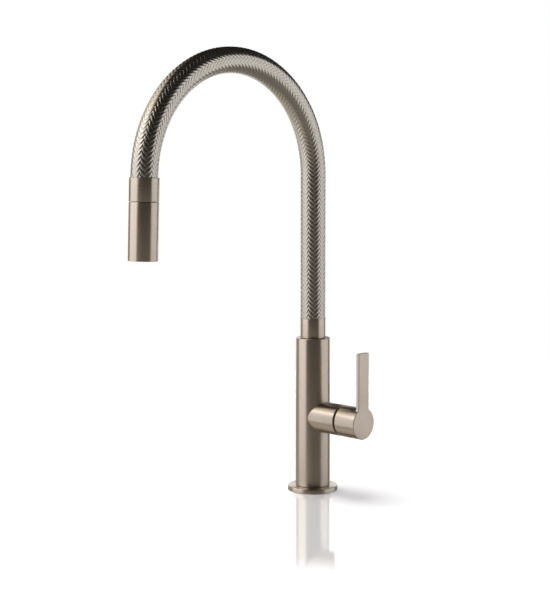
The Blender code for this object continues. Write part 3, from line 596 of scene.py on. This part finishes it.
def make_cap(finishes):
    """The dark dome that closes the cartridge, seen in the slit behind the lever; its near-black colour also
    paints the slit's shade.
    """
    low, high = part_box("cartridge_cap")
    radius = high.y
    bevel = 0.0014
    fillet = 0.0006
    outline = soften([
        (STEM_HOLE, low.x, 0),
        (radius, low.x, 0),
        (radius, high.x - bevel, fillet),
        (radius - bevel, high.x, fillet),
        (STEM_HOLE, high.x, fillet / 2),
    ])
    shape = lathe(outline, valve_frame())
    add_piece("cartridge_dome", shape, finishes["dark_steel"], "base", "dark_steel", "cartridge_cap")


def make_deck_parts(finishes):
    """The threaded shank, its washers and nut, and the hose's end fitting."""
    make_shank(finishes)
    make_washer("deck_seal", "rubber_washer", 0.0007, "black_rubber", finishes)
    make_washer("clamp_plate", "clamp_washer", 0.0004, "stainless_steel", finishes)
    make_nut(finishes)
    make_hose_end(finishes)


def make_washer(name, node, edge, slot, finishes):
    """A flat ring under the deck, with rounded edges."""
    low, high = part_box(node)
    outline = soften([
        (BODY_BORE, low.z, edge / 2),
        (high.y, low.z, edge),
        (high.y, high.z, edge),
        (BODY_BORE, high.z, edge / 2),
    ])
    add_piece(name, lathe(outline), finishes[slot], "base", slot, node)


def make_hose_end(finishes):
    """The brass fitting at the hose's lower end, with barbs below its shoulder."""
    low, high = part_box("hose_end_fitting")
    middle = (low.x + high.x) / 2
    radius = (high.x - low.x) / 2
    bore = 0.0034
    nipple = 0.0050
    root = nipple - 0.0006
    shoulder = low.z + 0.0080
    barbs = 4
    pitch = 0.0016
    first_barb = low.z + 0.0008
    corners = [(bore, low.z, 0.0002)]
    for k in range(barbs):
        start = first_barb + k * pitch
        corners += [(root, start, 0), (nipple, start + 0.3 * pitch, 0), (nipple, start + 0.8 * pitch, 0)]
    corners += [
        (nipple, shoulder, 0),
        (radius, shoulder, 0.0004),
        (radius, high.z, 0.0006),
        (bore, high.z, 0),
    ]
    shape = lathe(soften(corners), Matrix.Translation((middle, 0, 0)), SMALL_SEGMENTS)
    add_piece("hose_end", shape, finishes["brass"], "base", "brass", "hose_end_fitting")


def make_shank(finishes):
    """The brass shank, with a real helical thread below the body."""
    low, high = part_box("threaded_shank")
    radius = high.y
    bore = 0.0140
    pitch = 0.0015
    depth = 0.0007
    thread_top = -0.0010
    rows_per_turn = 8
    rows = round((thread_top - low.z) / pitch * rows_per_turn)
    rings = [circle(bore, low.z)]
    for row in range(rows + 1):
        height = low.z + (thread_top - low.z) * row / rows
        fade = min(1.0, row / rows_per_turn, (rows - row) / rows_per_turn)
        lead_in = depth * (1 - fade) if row < rows_per_turn else 0.0  # turned down to the thread's root
        ring = []
        for turn in ring_turns():
            phase = (height / pitch - turn / (2 * pi)) % 1.0
            groove = depth * (1 - abs(2 * phase - 1)) * fade + lead_in
            ring.append(Vector(((radius - groove) * cos(turn), (radius - groove) * sin(turn), height)))
        rings.append(ring)
    rings += [circle(radius, high.z), circle(bore, high.z)]
    add_piece("shank", loft(rings), finishes["brass"], "base", "brass", "threaded_shank")


def ring_turns(count=96):
    """Evenly spaced turns round a full circle."""
    return [2 * pi * k / count for k in range(count)]


def circle(radius, height):
    """A level ring of points round the body's axis."""
    return [Vector((radius * cos(turn), radius * sin(turn), height)) for turn in ring_turns()]


def make_nut(finishes):
    """The hexagon nut, its corners turned down at both faces."""
    low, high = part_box("mounting_nut")
    corner = max(high.x, high.y)
    corner_turn = 0 if high.x >= high.y else pi / 2
    flat = corner * cos(pi / 6)
    smallest = flat - 0.0002
    drop = (corner - flat) * tan(radians(30))

    def hexagon(limit, height):
        """A hexagon's outline, cut back to a circle of radius limit."""
        ring = []
        for turn in ring_turns():
            from_flat = (turn - corner_turn) % (pi / 3) - pi / 6
            reach = min(flat / cos(from_flat), limit)
            ring.append(Vector((reach * cos(turn), reach * sin(turn), height)))
        return ring

    steps = 4
    chamfer = [(smallest + (corner - smallest) * k / steps, drop * k / steps) for k in range(steps + 1)]
    rings = [circle(BODY_BORE, low.z)]
    rings += [hexagon(limit, low.z + rise) for limit, rise in chamfer]
    rings += [hexagon(limit, high.z - rise) for limit, rise in chamfer[::-1]]
    rings.append(circle(BODY_BORE, high.z))
    add_piece("deck_nut", loft(rings), finishes["brass"], "base", "brass", "mounting_nut")


# ---------------------------------------------------------------- lever


def arc(centre, radius, start, end, steps):
    """Points along a circle from one turn to another."""
    turns = [start + (end - start) * k / steps for k in range(steps + 1)]
    return [(centre[0] + radius * cos(turn), centre[1] + radius * sin(turn)) for turn in turns]


def blade_root():
    """Where the fillet between the round end and the blade is centred, as Y, height and turn."""
    reach = HANDLE_RADIUS + BLADE_FILLET
    y = BLADE_HALF_WIDTH + BLADE_FILLET
    return y, sqrt(reach**2 - y**2), acos(y / reach)


def keyhole(inset=0.0):
    """The lever seen along its axis, as (Y, height) points: a round end with a straight blade above it."""
    radius = HANDLE_RADIUS - inset
    half_width = BLADE_HALF_WIDTH - inset
    fillet = BLADE_FILLET + inset
    corner = BLADE_CORNER - inset
    top = BLADE_TOP - inset
    fillet_y, fillet_z, meet = blade_root()
    half = arc((fillet_y, fillet_z), fillet, pi + meet, pi, 12)[1:]
    side_steps = 24
    side_top = top - corner
    half += [(half_width, fillet_z + (side_top - fillet_z) * k / side_steps) for k in range(1, side_steps)]
    half += arc((half_width - corner, side_top), corner, 0, pi / 2, 8)
    half += [((half_width - corner) * (1 - k / 4), top) for k in range(1, 4)]
    mirrored = [(-y, z) for y, z in reversed(half)]
    return half + [(0.0, top)] + mirrored + arc((0, 0), radius, pi - meet, 2 * pi + meet, ROUND_STEPS)


def round_of(outline, radius):
    """The keyhole's points moved onto a circle: blade points spread over the arc that the blade hides."""
    _, _, meet = blade_root()
    blade_points = len(outline) - ROUND_STEPS - 1
    ring = []
    for k in range(blade_points):
        turn = meet + (pi - 2 * meet) * (k + 1) / (blade_points + 1)
        ring.append((radius * cos(turn), radius * sin(turn)))
    return ring + arc((0, 0), radius, pi - meet, 2 * pi + meet, ROUND_STEPS)


def square_of(ring, half):
    """A ring's points moved out or in onto a square."""
    points = []
    for y, z in ring:
        share = half / max(abs(y), abs(z))
        points.append((y * share, z * share))
    return points


def lever_rim(z, base):
    """Distance from the body's axis of the cup's rim, cut back low down so that the lever can be lifted."""
    start_gap = RIM - BARREL_END - GAP
    behind = BARREL_END - PIVOT
    clearance = (behind + GAP) / cos(LIFT_ANGLE) - behind
    relief_depth = (start_gap - clearance) / tan(LIFT_ANGLE)
    return max(base, BARREL_END + start_gap - (z + relief_depth) * tan(LIFT_ANGLE))


def lever_ring(points, x):
    """An outline of (Y, height) points set across the valve's axis; x may be a distance or a rule for one."""
    place = x if callable(x) else lambda z: x
    return [Vector((place(z), y, z + VALVE_HEIGHT)) for y, z in points]


def lever_outside():
    """Rings from the cup's rim out to the blade's face."""
    outline = keyhole()
    blade_back = HANDLE_FACE - BLADE_THICKNESS
    last_ring = blade_back - 0.0040  # keeps the cup's shading even up to the blade
    quarter = [k * pi / 8 for k in range(5)]
    rings = []
    for turn in quarter:
        radius = HANDLE_RADIUS - LEVER_EDGE * (1 - sin(turn))
        back = LEVER_EDGE * (1 - cos(turn))
        rings.append(lever_ring(round_of(outline, radius), lambda z, back=back: lever_rim(z, RIM) + back))
    rings.append(lever_ring(round_of(outline, HANDLE_RADIUS), last_ring))
    rings.append(lever_ring(round_of(outline, HANDLE_RADIUS), blade_back))
    rings.append(lever_ring(outline, blade_back))
    for turn in quarter:
        inset = LEVER_EDGE * (1 - cos(turn))
        rings.append(lever_ring(keyhole(inset), HANDLE_FACE - LEVER_EDGE * (1 - sin(turn))))
    return rings


def lever_inside():
    """Rings from the rim into the cup and down the boss's square socket."""
    outline = keyhole()
    inner = round_of(outline, CAVITY_RADIUS)
    boss = round_of(outline, BOSS_RADIUS)
    socket = square_of(boss, STEM_HALF)
    return [
        lever_ring(inner, lambda z: lever_rim(z, RIM)),
        lever_ring(inner, CAVITY_FLOOR),
        lever_ring(boss, CAVITY_FLOOR),
        lever_ring(boss, BOSS_START),
        lever_ring(socket, BOSS_START),
        lever_ring(socket, CAVITY_FLOOR),
    ]


def make_lever(finishes):
    """The cup with its blade in one piece, hollow behind, its lower rim cut back so that it can be lifted."""
    shape = bmesh.new()
    outside = [[shape.verts.new(point) for point in ring] for ring in lever_outside()]
    inside = [[shape.verts.new(point) for point in ring] for ring in lever_inside()]
    join_rings(shape, outside[0], inside[0])
    for rings in (outside, inside):
        for near, far in zip(rings, rings[1:]):
            join_rings(shape, near, far)
        shape.faces.new(rings[-1])
    bmesh.ops.remove_doubles(shape, verts=shape.verts[:], dist=1e-7)
    bmesh.ops.dissolve_degenerate(shape, edges=shape.edges[:], dist=1e-7)
    piece = finished("lever", shape, [finishes["nickel_side"], finishes["nickel_blade"]])
    for face in piece.data.polygons:
        flat = abs(face.normal.x) > 0.9
        above = face.center.z > VALVE_HEIGHT + HANDLE_RADIUS
        face.material_index = 1 if flat or above else 0
    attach(piece, "handle")
    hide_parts("lever_handle")


def make_plug(finishes):
    """The small button over the lever's set screw, on the cup's underside."""
    low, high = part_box("handle_plug")
    radius = (high.y - low.y) / 2
    proud = 0.0002  # how far it stands out of the cup
    top = VALVE_HEIGHT - CAVITY_RADIUS
    bottom = VALVE_HEIGHT - HANDLE_RADIUS - proud
    outline = soften([(0, bottom, 0), (radius, bottom, 0.0004), (radius, top, 0.0002), (0, top, 0)])
    shape = lathe(outline, Matrix.Translation((PLUG_X, 0, 0)), SMALL_SEGMENTS)
    add_piece("plug_button", shape, finishes["brushed_nickel"], "handle", "brushed_nickel", "handle_plug")


# ---------------------------------------------------------------- spout


def make_ferrule(finishes):
    """The collar at the spout's foot, with a recess that the braid ends in."""
    recess = 0.01392
    recess_floor = FERRULE_TOP - 1.5 * TUCK
    outline = soften([
        (FERRULE_BORE, FERRULE_BOTTOM, 0),
        (FERRULE_SHANK, FERRULE_BOTTOM, 0.0003),
        (FERRULE_SHANK, BODY_TOP + GAP, 0),
        (FERRULE_RADIUS, BODY_TOP + GAP, EDGE),
        (FERRULE_RADIUS, FERRULE_TOP, 0.00006),
        (recess, FERRULE_TOP, 0.00005),
        (recess, recess_floor, 0),
        (TUBE_RADIUS, recess_floor, 0),
        (TUBE_RADIUS, TUBE_SEAT, 0),
        (FERRULE_BORE, TUBE_SEAT, 0),
    ])
    shape = lathe(outline)
    add_piece("spout_foot", shape, finishes["brushed_nickel"], "spout", "brushed_nickel", "spout_ferrule")


def braid_point(along, turn, radius):
    """A point on the braid: a distance along the spout, an angle round it and a distance from its middle."""
    centre, direction = spout_line(along)
    across = SIDE.cross(direction)
    return centre + radius * (cos(turn) * SIDE + sin(turn) * across)


def weave_height(turn, way):
    """How far the strands that wind one way lie from the braid's middle, two over and two under."""
    wave = sin(CARRIERS / 2 * (turn - WEAVE_TURN) + pi / 4)
    flattened = wave * (1.25 - 0.25 * wave * wave)
    return WEAVE_MIDDLE + way * WEAVE_DEPTH * flattened


def strand_section():
    """The strand's section as (share of the half width, height): a crowned top and a flat underside."""
    steps = 6
    top = []
    for k in range(steps + 1):
        across = -cos(pi * k / steps)
        top.append((across, STRAND_CROWN * (1 - across * across)))
    return top + [(STRAND_FOOT, STRAND_UNDERSIDE), (-STRAND_FOOT, STRAND_UNDERSIDE)]


def strand_points(carrier, way, section, steps):
    """One strand's points, section after section, and how far across the strand each of them lies."""
    slope = atan2(2 * pi * WEAVE_MIDDLE, STRAND_LEAD)  # between a strand and the spout's own direction
    points = []
    across_values = []
    for step in range(steps + 1):
        along = BRAID_START + (BRAID_END - BRAID_START) * step / steps
        turn = WEAVE_TURN + way * 2 * pi * along / STRAND_LEAD + 2 * pi * carrier / CARRIERS
        for share, height in section:
            offset = share * STRAND_WIDTH / 2
            own_along = along - way * offset * sin(slope)
            own_turn = turn + offset * cos(slope) / WEAVE_MIDDLE
            points.append(braid_point(own_along, own_turn, weave_height(own_turn, way) + height))
            across_values.append(share)
    return points, across_values


def strand_faces(first, count, steps):
    """One strand's sides and ends, for sections of count points that start at the point called first."""
    faces = []
    for step in range(steps):
        near = first + step * count
        far = near + count
        for k in range(count):
            after = (k + 1) % count
            faces.append((near + k, near + after, far + after, far + k))
    last = first + steps * count
    faces.append(tuple(range(first + count - 1, first - 1, -1)))
    faces.append(tuple(range(last, last + count)))
    return faces


def make_braid(finishes):
    """Two pieces, each with the strands that wind one way."""
    section = strand_section()
    steps = ceil((BRAID_END - BRAID_START) / STRAND_STEP)
    for name, way in (("braid_right", 1), ("braid_left", -1)):
        points = []
        across_values = []
        faces = []
        for carrier in range(CARRIERS):
            faces += strand_faces(len(points), len(section), steps)
            strand, across = strand_points(carrier, way, section, steps)
            points += strand
            across_values += across
        mesh = bpy.data.meshes.new(name)
        mesh.from_pydata(points, [], faces)
        values = mesh.attributes.new("across", "FLOAT", "POINT")
        values.data.foreach_set("value", across_values)
        mesh.materials.append(finishes["braided_steel"])
        mesh.shade_smooth()
        piece = bpy.data.objects.new(name, mesh)
        bpy.context.scene.collection.objects.link(piece)
        turn_faces_out(piece)
        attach(piece, "spout")
        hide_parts("braided_sleeve")


def turn_faces_out(piece):
    """Make every face of a piece point outwards."""
    shape = bmesh.new()
    shape.from_mesh(piece.data)
    bmesh.ops.recalc_face_normals(shape, faces=shape.faces[:])
    shape.to_mesh(piece.data)
    shape.free()


def make_liner(finishes):
    """The tube that shows between the strands, its dark colour partly painted shade."""
    steps = 150
    stations = [spout_line(BRAID_START + (BRAID_END - BRAID_START) * k / steps) for k in range(steps + 1)]
    shape = tube_along(stations, LINER_RADIUS, LINER_BORE, 64)
    add_piece("braid_liner", shape, finishes["liner"], "spout", "grey_plastic")


# ---------------------------------------------------------------- dock, head and hose


def make_collar(finishes):
    """The dock at the arch's free end, with a recess for the braid and a mouth for the head."""
    recess = 0.01395
    recess_floor = COLLAR_START + 1.5 * TUCK
    outline = soften([
        (TUBE_RADIUS, recess_floor, 0),
        (recess, recess_floor, 0),
        (recess, COLLAR_START, 0.0002),
        (COLLAR_RADIUS, COLLAR_START, EDGE),
        (COLLAR_RADIUS, COLLAR_END, EDGE),
        (DOCK_BORE, COLLAR_END, 0.0003),
        (DOCK_BORE, DOCK_SHOULDER, 0),
        (TUBE_RADIUS, DOCK_SHOULDER, 0),
    ])
    shape = lathe(outline, head_frame())
    add_piece("dock", shape, finishes["brushed_nickel"], "spout", "brushed_nickel", "dock_collar")


def make_head(finishes):
    """The spray head's shell."""
    roof = HEAD_START + 0.0020
    outline = soften([
        (HEAD_NECK, HEAD_START, 0.0003),
        (HEAD_RADIUS, HEAD_START, EDGE),
        (HEAD_RADIUS, HEAD_END, EDGE),
        (HEAD_BORE, HEAD_END, 0.0003),
        (HEAD_BORE, roof, 0),
        (HEAD_NECK, roof, 0),
    ])
    shape = lathe(outline, head_frame())
    add_piece("spray_head", shape, finishes["brushed_nickel"], "head", "brushed_nickel", "head_shell")


def make_face_ring(finishes):
    """The grey ring in the head's mouth, bevelled towards the aerator."""
    bore = AERATOR_RADIUS + GAP
    radius = HEAD_BORE - GAP
    bevel_start = 0.0112
    bevel_depth = 0.0010
    outline = soften([
        (bore, FACE_START, 0),
        (radius, FACE_START, 0),
        (radius, FACE_END, 0.0004),
        (bevel_start, FACE_END, 0.0003),
        (bore, FACE_END - bevel_depth, 0.0002),
    ])
    shape = lathe(outline, head_frame())
    add_piece("spray_face", shape, finishes["grey_plastic"], "head", "grey_plastic", "face_ring")


def make_aerator(finishes):
    """The aerator's steel cup, open at the bottom."""
    inner = AERATOR_RADIUS - AERATOR_WALL
    floor = AERATOR_END - 0.0034
    outline = soften([
        (0, AERATOR_START, 0),
        (AERATOR_RADIUS, AERATOR_START, 0),
        (AERATOR_RADIUS, AERATOR_END, 0.0003),
        (inner, AERATOR_END, 0.0003),
        (inner, floor, 0),
        (0, floor, 0),
    ])
    shape = lathe(outline, head_frame())
    add_piece("aerator_cup", shape, finishes["stainless_steel"], "head", "stainless_steel", "aerator")


def add_cell(comb, x, y, cell, web, top, bottom):
    """One hollow hexagon of a comb, by its middle, its size to a corner and the thickness of its wall."""
    where = head_frame()
    loops = []
    for size, height in ((cell, top), (cell, bottom), (cell - web, bottom), (cell - web, top)):
        corners = [(x + size * cos(k * pi / 3), y + size * sin(k * pi / 3)) for k in range(6)]
        loops.append([comb.verts.new(where @ Vector((px, py, height))) for px, py in corners])
    for near, far in zip(loops, loops[1:] + loops[:1]):
        join_rings(comb, near, far)


def make_honeycomb(finishes):
    """A real honeycomb in the aerator's mouth."""
    cell = 0.00078  # from a cell's middle to its corner
    web = 0.00016
    limit = AERATOR_RADIUS - AERATOR_WALL - 0.0001
    top = AERATOR_END - 0.0006
    bottom = top - 0.0014
    comb = bmesh.new()
    reach = ceil(limit / cell)
    for column in range(-reach, reach + 1):
        for row in range(-reach, reach + 1):
            x = cell * 1.5 * column
            y = cell * sqrt(3) * (row + 0.5 * (column % 2))
            if sqrt(x * x + y * y) <= limit - 0.6 * cell:
                add_cell(comb, x, y, cell, web, top, bottom)
    add_piece("aerator_honeycomb", comb, finishes["white_plastic"], "head", "white_plastic")


def make_spray_hose(finishes):
    """The hose between dock and head, as a fixed tube; the real one lengthens as the head is pulled out."""
    where = head_frame()
    steps = 60
    rings = []
    for radius, run in ((HOSE_RADIUS, range(steps + 1)), (HOSE_BORE, range(steps, -1, -1))):
        for step in run:
            along = TAIL_START + (TAIL_END - TAIL_START) * step / steps
            rings.append([where @ Vector((radius * cos(t), radius * sin(t), along)) for t in ring_turns(40)])
    piece = finished("spray_hose", loft(rings), [finishes["hose_nylon"]])
    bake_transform(piece)
    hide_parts("hose_tail")


# ---------------------------------------------------------------- carried-over pieces, stage and light


def paint_carried_nodes(finishes):
    """Give each CAD node the procedural material of its own slot."""
    for part in frame["record"]["subparts"]:
        NODES[part["node"]].data.materials[0] = finishes[part["material_slot"]]


def mirror_share(tree):
    """How much the floor mirrors: only at a low angle, in a strip from the foot towards the camera."""
    strongest = 0.48
    facing = add_node(tree, "ShaderNodeLayerWeight", inputs={"Blend": 0.5}).outputs["Facing"]
    low_angle = times(tree, ramp(tree, facing, 0.45, 0.70), ramp(tree, facing, 0.90, 0.82))
    place = add_node(tree, "ShaderNodeTexCoord").outputs["Object"]
    across = dot(tree, place, (cos(CAMERA_AZIMUTH), sin(CAMERA_AZIMUTH), 0))
    apart = add_node(tree, "ShaderNodeMath", {"operation": "ABSOLUTE"}, {0: across}).outputs["Value"]
    width = ramp(tree, apart, 0.0222, 0.0192)
    nearer = dot(tree, place, (sin(CAMERA_AZIMUTH), -cos(CAMERA_AZIMUTH), 0))
    length = times(tree, ramp(tree, nearer, 0.345, 0.265), ramp(tree, nearer, 0.0, 0.02))
    return times(tree, times(tree, low_angle, times(tree, width, length)), strongest)


def floor_material():
    """A pale matt floor that glows a little, with a glossy strip."""
    material, tree, shader = new_material("floor")
    shader.inputs["Base Color"].default_value = (0.65, 0.65, 0.65, 1)
    shader.inputs["Emission Color"].default_value = (0.97, 0.96, 1.0, 1)
    shader.inputs["Emission Strength"].default_value = 0.33
    shader.inputs["Roughness"].default_value = 0.7
    shader.inputs["Specular IOR Level"].default_value = 0.0
    gloss = add_node(tree, "ShaderNodeBsdfGlossy", inputs={"Color": (1, 1, 1, 1), "Roughness": 0.06})
    both = add_node(tree, "ShaderNodeMixShader")
    tree.links.new(mirror_share(tree), both.inputs[0])
    tree.links.new(shader.outputs["BSDF"], both.inputs[1])
    tree.links.new(gloss.outputs["BSDF"], both.inputs[2])
    tree.links.new(both.outputs["Shader"], tree.nodes["Material Output"].inputs["Surface"])
    return material


def make_floor():
    """A round pale floor, glossy at a low angle, so that it mirrors what stands on it."""
    count = 96
    points = [(FLOOR_RADIUS * cos(t), FLOOR_RADIUS * sin(t), FLOOR_HEIGHT) for t in ring_turns(count)]
    mesh = bpy.data.meshes.new("floor")
    mesh.from_pydata(points, [], [tuple(range(count))])
    mesh.materials.append(floor_material())
    floor = bpy.data.objects.new("floor", mesh)
    bpy.context.scene.collection.objects.link(floor)
    floor.visible_glossy = False
    floor.visible_shadow = False


def make_backdrop():
    """A low white screen along the floor's far edge, for the floor to mirror."""
    height = 0.42
    half_width = radians(38)
    steps = 24
    points = []
    for k in range(steps + 1):
        turn = BEHIND_OBJECT - half_width + 2 * half_width * k / steps
        foot = Vector((FLOOR_RADIUS * cos(turn), FLOOR_RADIUS * sin(turn), FLOOR_HEIGHT))
        points += [foot, foot + Vector((0, 0, height))]
    faces = [(2 * k, 2 * k + 1, 2 * k + 3, 2 * k + 2) for k in range(steps)]
    mesh = bpy.data.meshes.new("backdrop")
    mesh.from_pydata(points, [], faces)
    material, _, shader = new_material("backdrop")
    shader.inputs["Base Color"].default_value = (0, 0, 0, 1)
    shader.inputs["Emission Color"].default_value = (1, 1, 1, 1)
    shader.inputs["Emission Strength"].default_value = 1.08
    mesh.materials.append(material)
    screen = bpy.data.objects.new("backdrop", mesh)
    bpy.context.scene.collection.objects.link(screen)
    screen.visible_camera = False
    screen.visible_diffuse = False
    screen.visible_shadow = False


def make_camera():
    """The photograph's point of view."""
    camera = bpy.data.objects.new("camera", bpy.data.cameras.new("camera"))
    bpy.context.scene.collection.objects.link(camera)
    x = CAMERA_DISTANCE * sin(CAMERA_AZIMUTH)
    y = -CAMERA_DISTANCE * cos(CAMERA_AZIMUTH)
    camera.location = (x, y, CAMERA_HEIGHT)
    camera.rotation_euler = (pi / 2 - CAMERA_TILT, 0, CAMERA_TURN)
    camera.data.lens = CAMERA_LENS
    camera.data.shift_y = CAMERA_SHIFT
    bpy.context.scene.camera = camera


def add_softbox(name, azimuth, distance, width, low, high, dimmest, brightest):
    """A tall rectangle of strips that faces the body, each strip brighter than the one below it.

    Azimuth is in degrees, measured round from +X.
    """
    strips = 6
    depth = (high - low) / strips
    turn = radians(azimuth)
    for k in range(strips):
        radiance = dimmest + (brightest - dimmest) * k / (strips - 1)
        light = bpy.data.lights.new(f"{name}_{k + 1}", "AREA")
        light.shape = "RECTANGLE"
        light.size = width
        light.size_y = depth
        light.energy = radiance * pi * width * depth
        lamp = bpy.data.objects.new(light.name, light)
        bpy.context.scene.collection.objects.link(lamp)
        lamp.location = (distance * cos(turn), distance * sin(turn), low + (k + 0.5) * depth)
        lamp.rotation_euler = (pi / 2, 0, turn + pi / 2)
        lamp.visible_camera = False
        lamp.visible_diffuse = False


def make_lights():
    """A tall softbox on each side for the metal to mirror, and a wide light from above for all else."""
    away = 1.3
    foot = -0.5
    add_softbox("left_softbox", -122, away, width=1.44, low=foot, high=1.30, dimmest=0.76, brightest=1.42)
    add_softbox("right_softbox", 43, away, width=1.75, low=foot, high=1.12, dimmest=0.60, brightest=1.00)

    light = bpy.data.lights.new("overhead", "SUN")
    light.angle = radians(40)
    light.energy = 3.6
    lamp = bpy.data.objects.new("overhead", light)
    bpy.context.scene.collection.objects.link(lamp)
    lamp.location = (-0.40, -0.14, 1.95)
    lamp.rotation_euler = Vector(lamp.location).to_track_quat("Z", "Y").to_euler()
    lamp.visible_camera = False
    lamp.visible_glossy = False


def room_level(tree, direction):
    """Brightness of the room in each direction: a dark room, and the lit parts of it added one by one."""
    height = add_node(tree, "ShaderNodeSeparateXYZ", inputs={"Vector": direction}).outputs["Z"]

    def towards(turn, start, end):
        """From 0 to 1 as a direction comes nearer to a compass turn, measured round from +X."""
        return ramp(tree, dot(tree, direction, (cos(turn), sin(turn), 0)), start, end)

    walls = ramp(tree, height, 0.30, 0.05)
    floor = ramp(tree, height, -0.10, -0.26)
    floor_left = times(tree, ramp(tree, height, -0.30, -0.60), towards(LEFT_OF_CAMERA, -0.1, 0.6))
    floor_behind = times(tree, ramp(tree, height, -0.05, -0.35), towards(BEHIND_OBJECT, 0.55, 0.95))
    panel = towards(LEFT_OF_CAMERA - radians(42), 0.76, 0.88)
    panel_top = times(tree, ramp(tree, height, 0.05, 0.30), panel)
    ceiling_left = times(tree, ramp(tree, height, 0.42, 0.55), towards(LEFT_OF_CAMERA, 0.36, 0.66))
    level = 0.02
    for part, brightness in (
        (walls, 0.075),
        (floor, 0.13),
        (floor_left, 0.33),
        (floor_behind, 0.12),
        (panel, 0.20),
        (panel_top, 0.50),
        (ceiling_left, 1.25),
    ):
        level = plus(tree, level, part, brightness)
    return level


def make_world():
    """White behind the object, and a dim warm room for the metal to mirror, lighter where its floor is."""
    world = bpy.data.worlds.new("studio")
    world.use_nodes = True
    bpy.context.scene.world = world
    tree = world.node_tree
    level = room_level(tree, add_node(tree, "ShaderNodeTexCoord").outputs["Generated"])
    warm = add_node(tree, "ShaderNodeVectorMath", {"operation": "MULTIPLY"}, {0: level, 1: (1.0, 0.91, 0.80)})
    rays = tree.nodes.new("ShaderNodeLightPath")
    inputs = {0: warm.outputs["Vector"], 1: rays.outputs["Is Camera Ray"]}
    seen = add_node(tree, "ShaderNodeVectorMath", {"operation": "MAXIMUM"}, inputs)
    background = tree.nodes["Background"]
    tree.links.new(seen.outputs["Vector"], background.inputs["Color"])
    background.inputs["Strength"].default_value = 1.0
    bpy.context.scene.view_settings.view_transform = "Standard"


def main():
    """Build every piece, then the stage round them."""
    make_camera()
    finishes = make_finishes()
    paint_carried_nodes(finishes)
    make_flange(finishes)
    make_body(finishes)
    make_cap(finishes)
    make_deck_parts(finishes)
    make_lever(finishes)
    make_plug(finishes)
    make_ferrule(finishes)
    make_braid(finishes)
    make_liner(finishes)
    make_collar(finishes)
    make_head(finishes)
    make_face_ring(finishes)
    make_aerator(finishes)
    make_honeycomb(finishes)
    make_spray_hose(finishes)
    make_floor()
    make_backdrop()
    make_lights()
    make_world()


main()
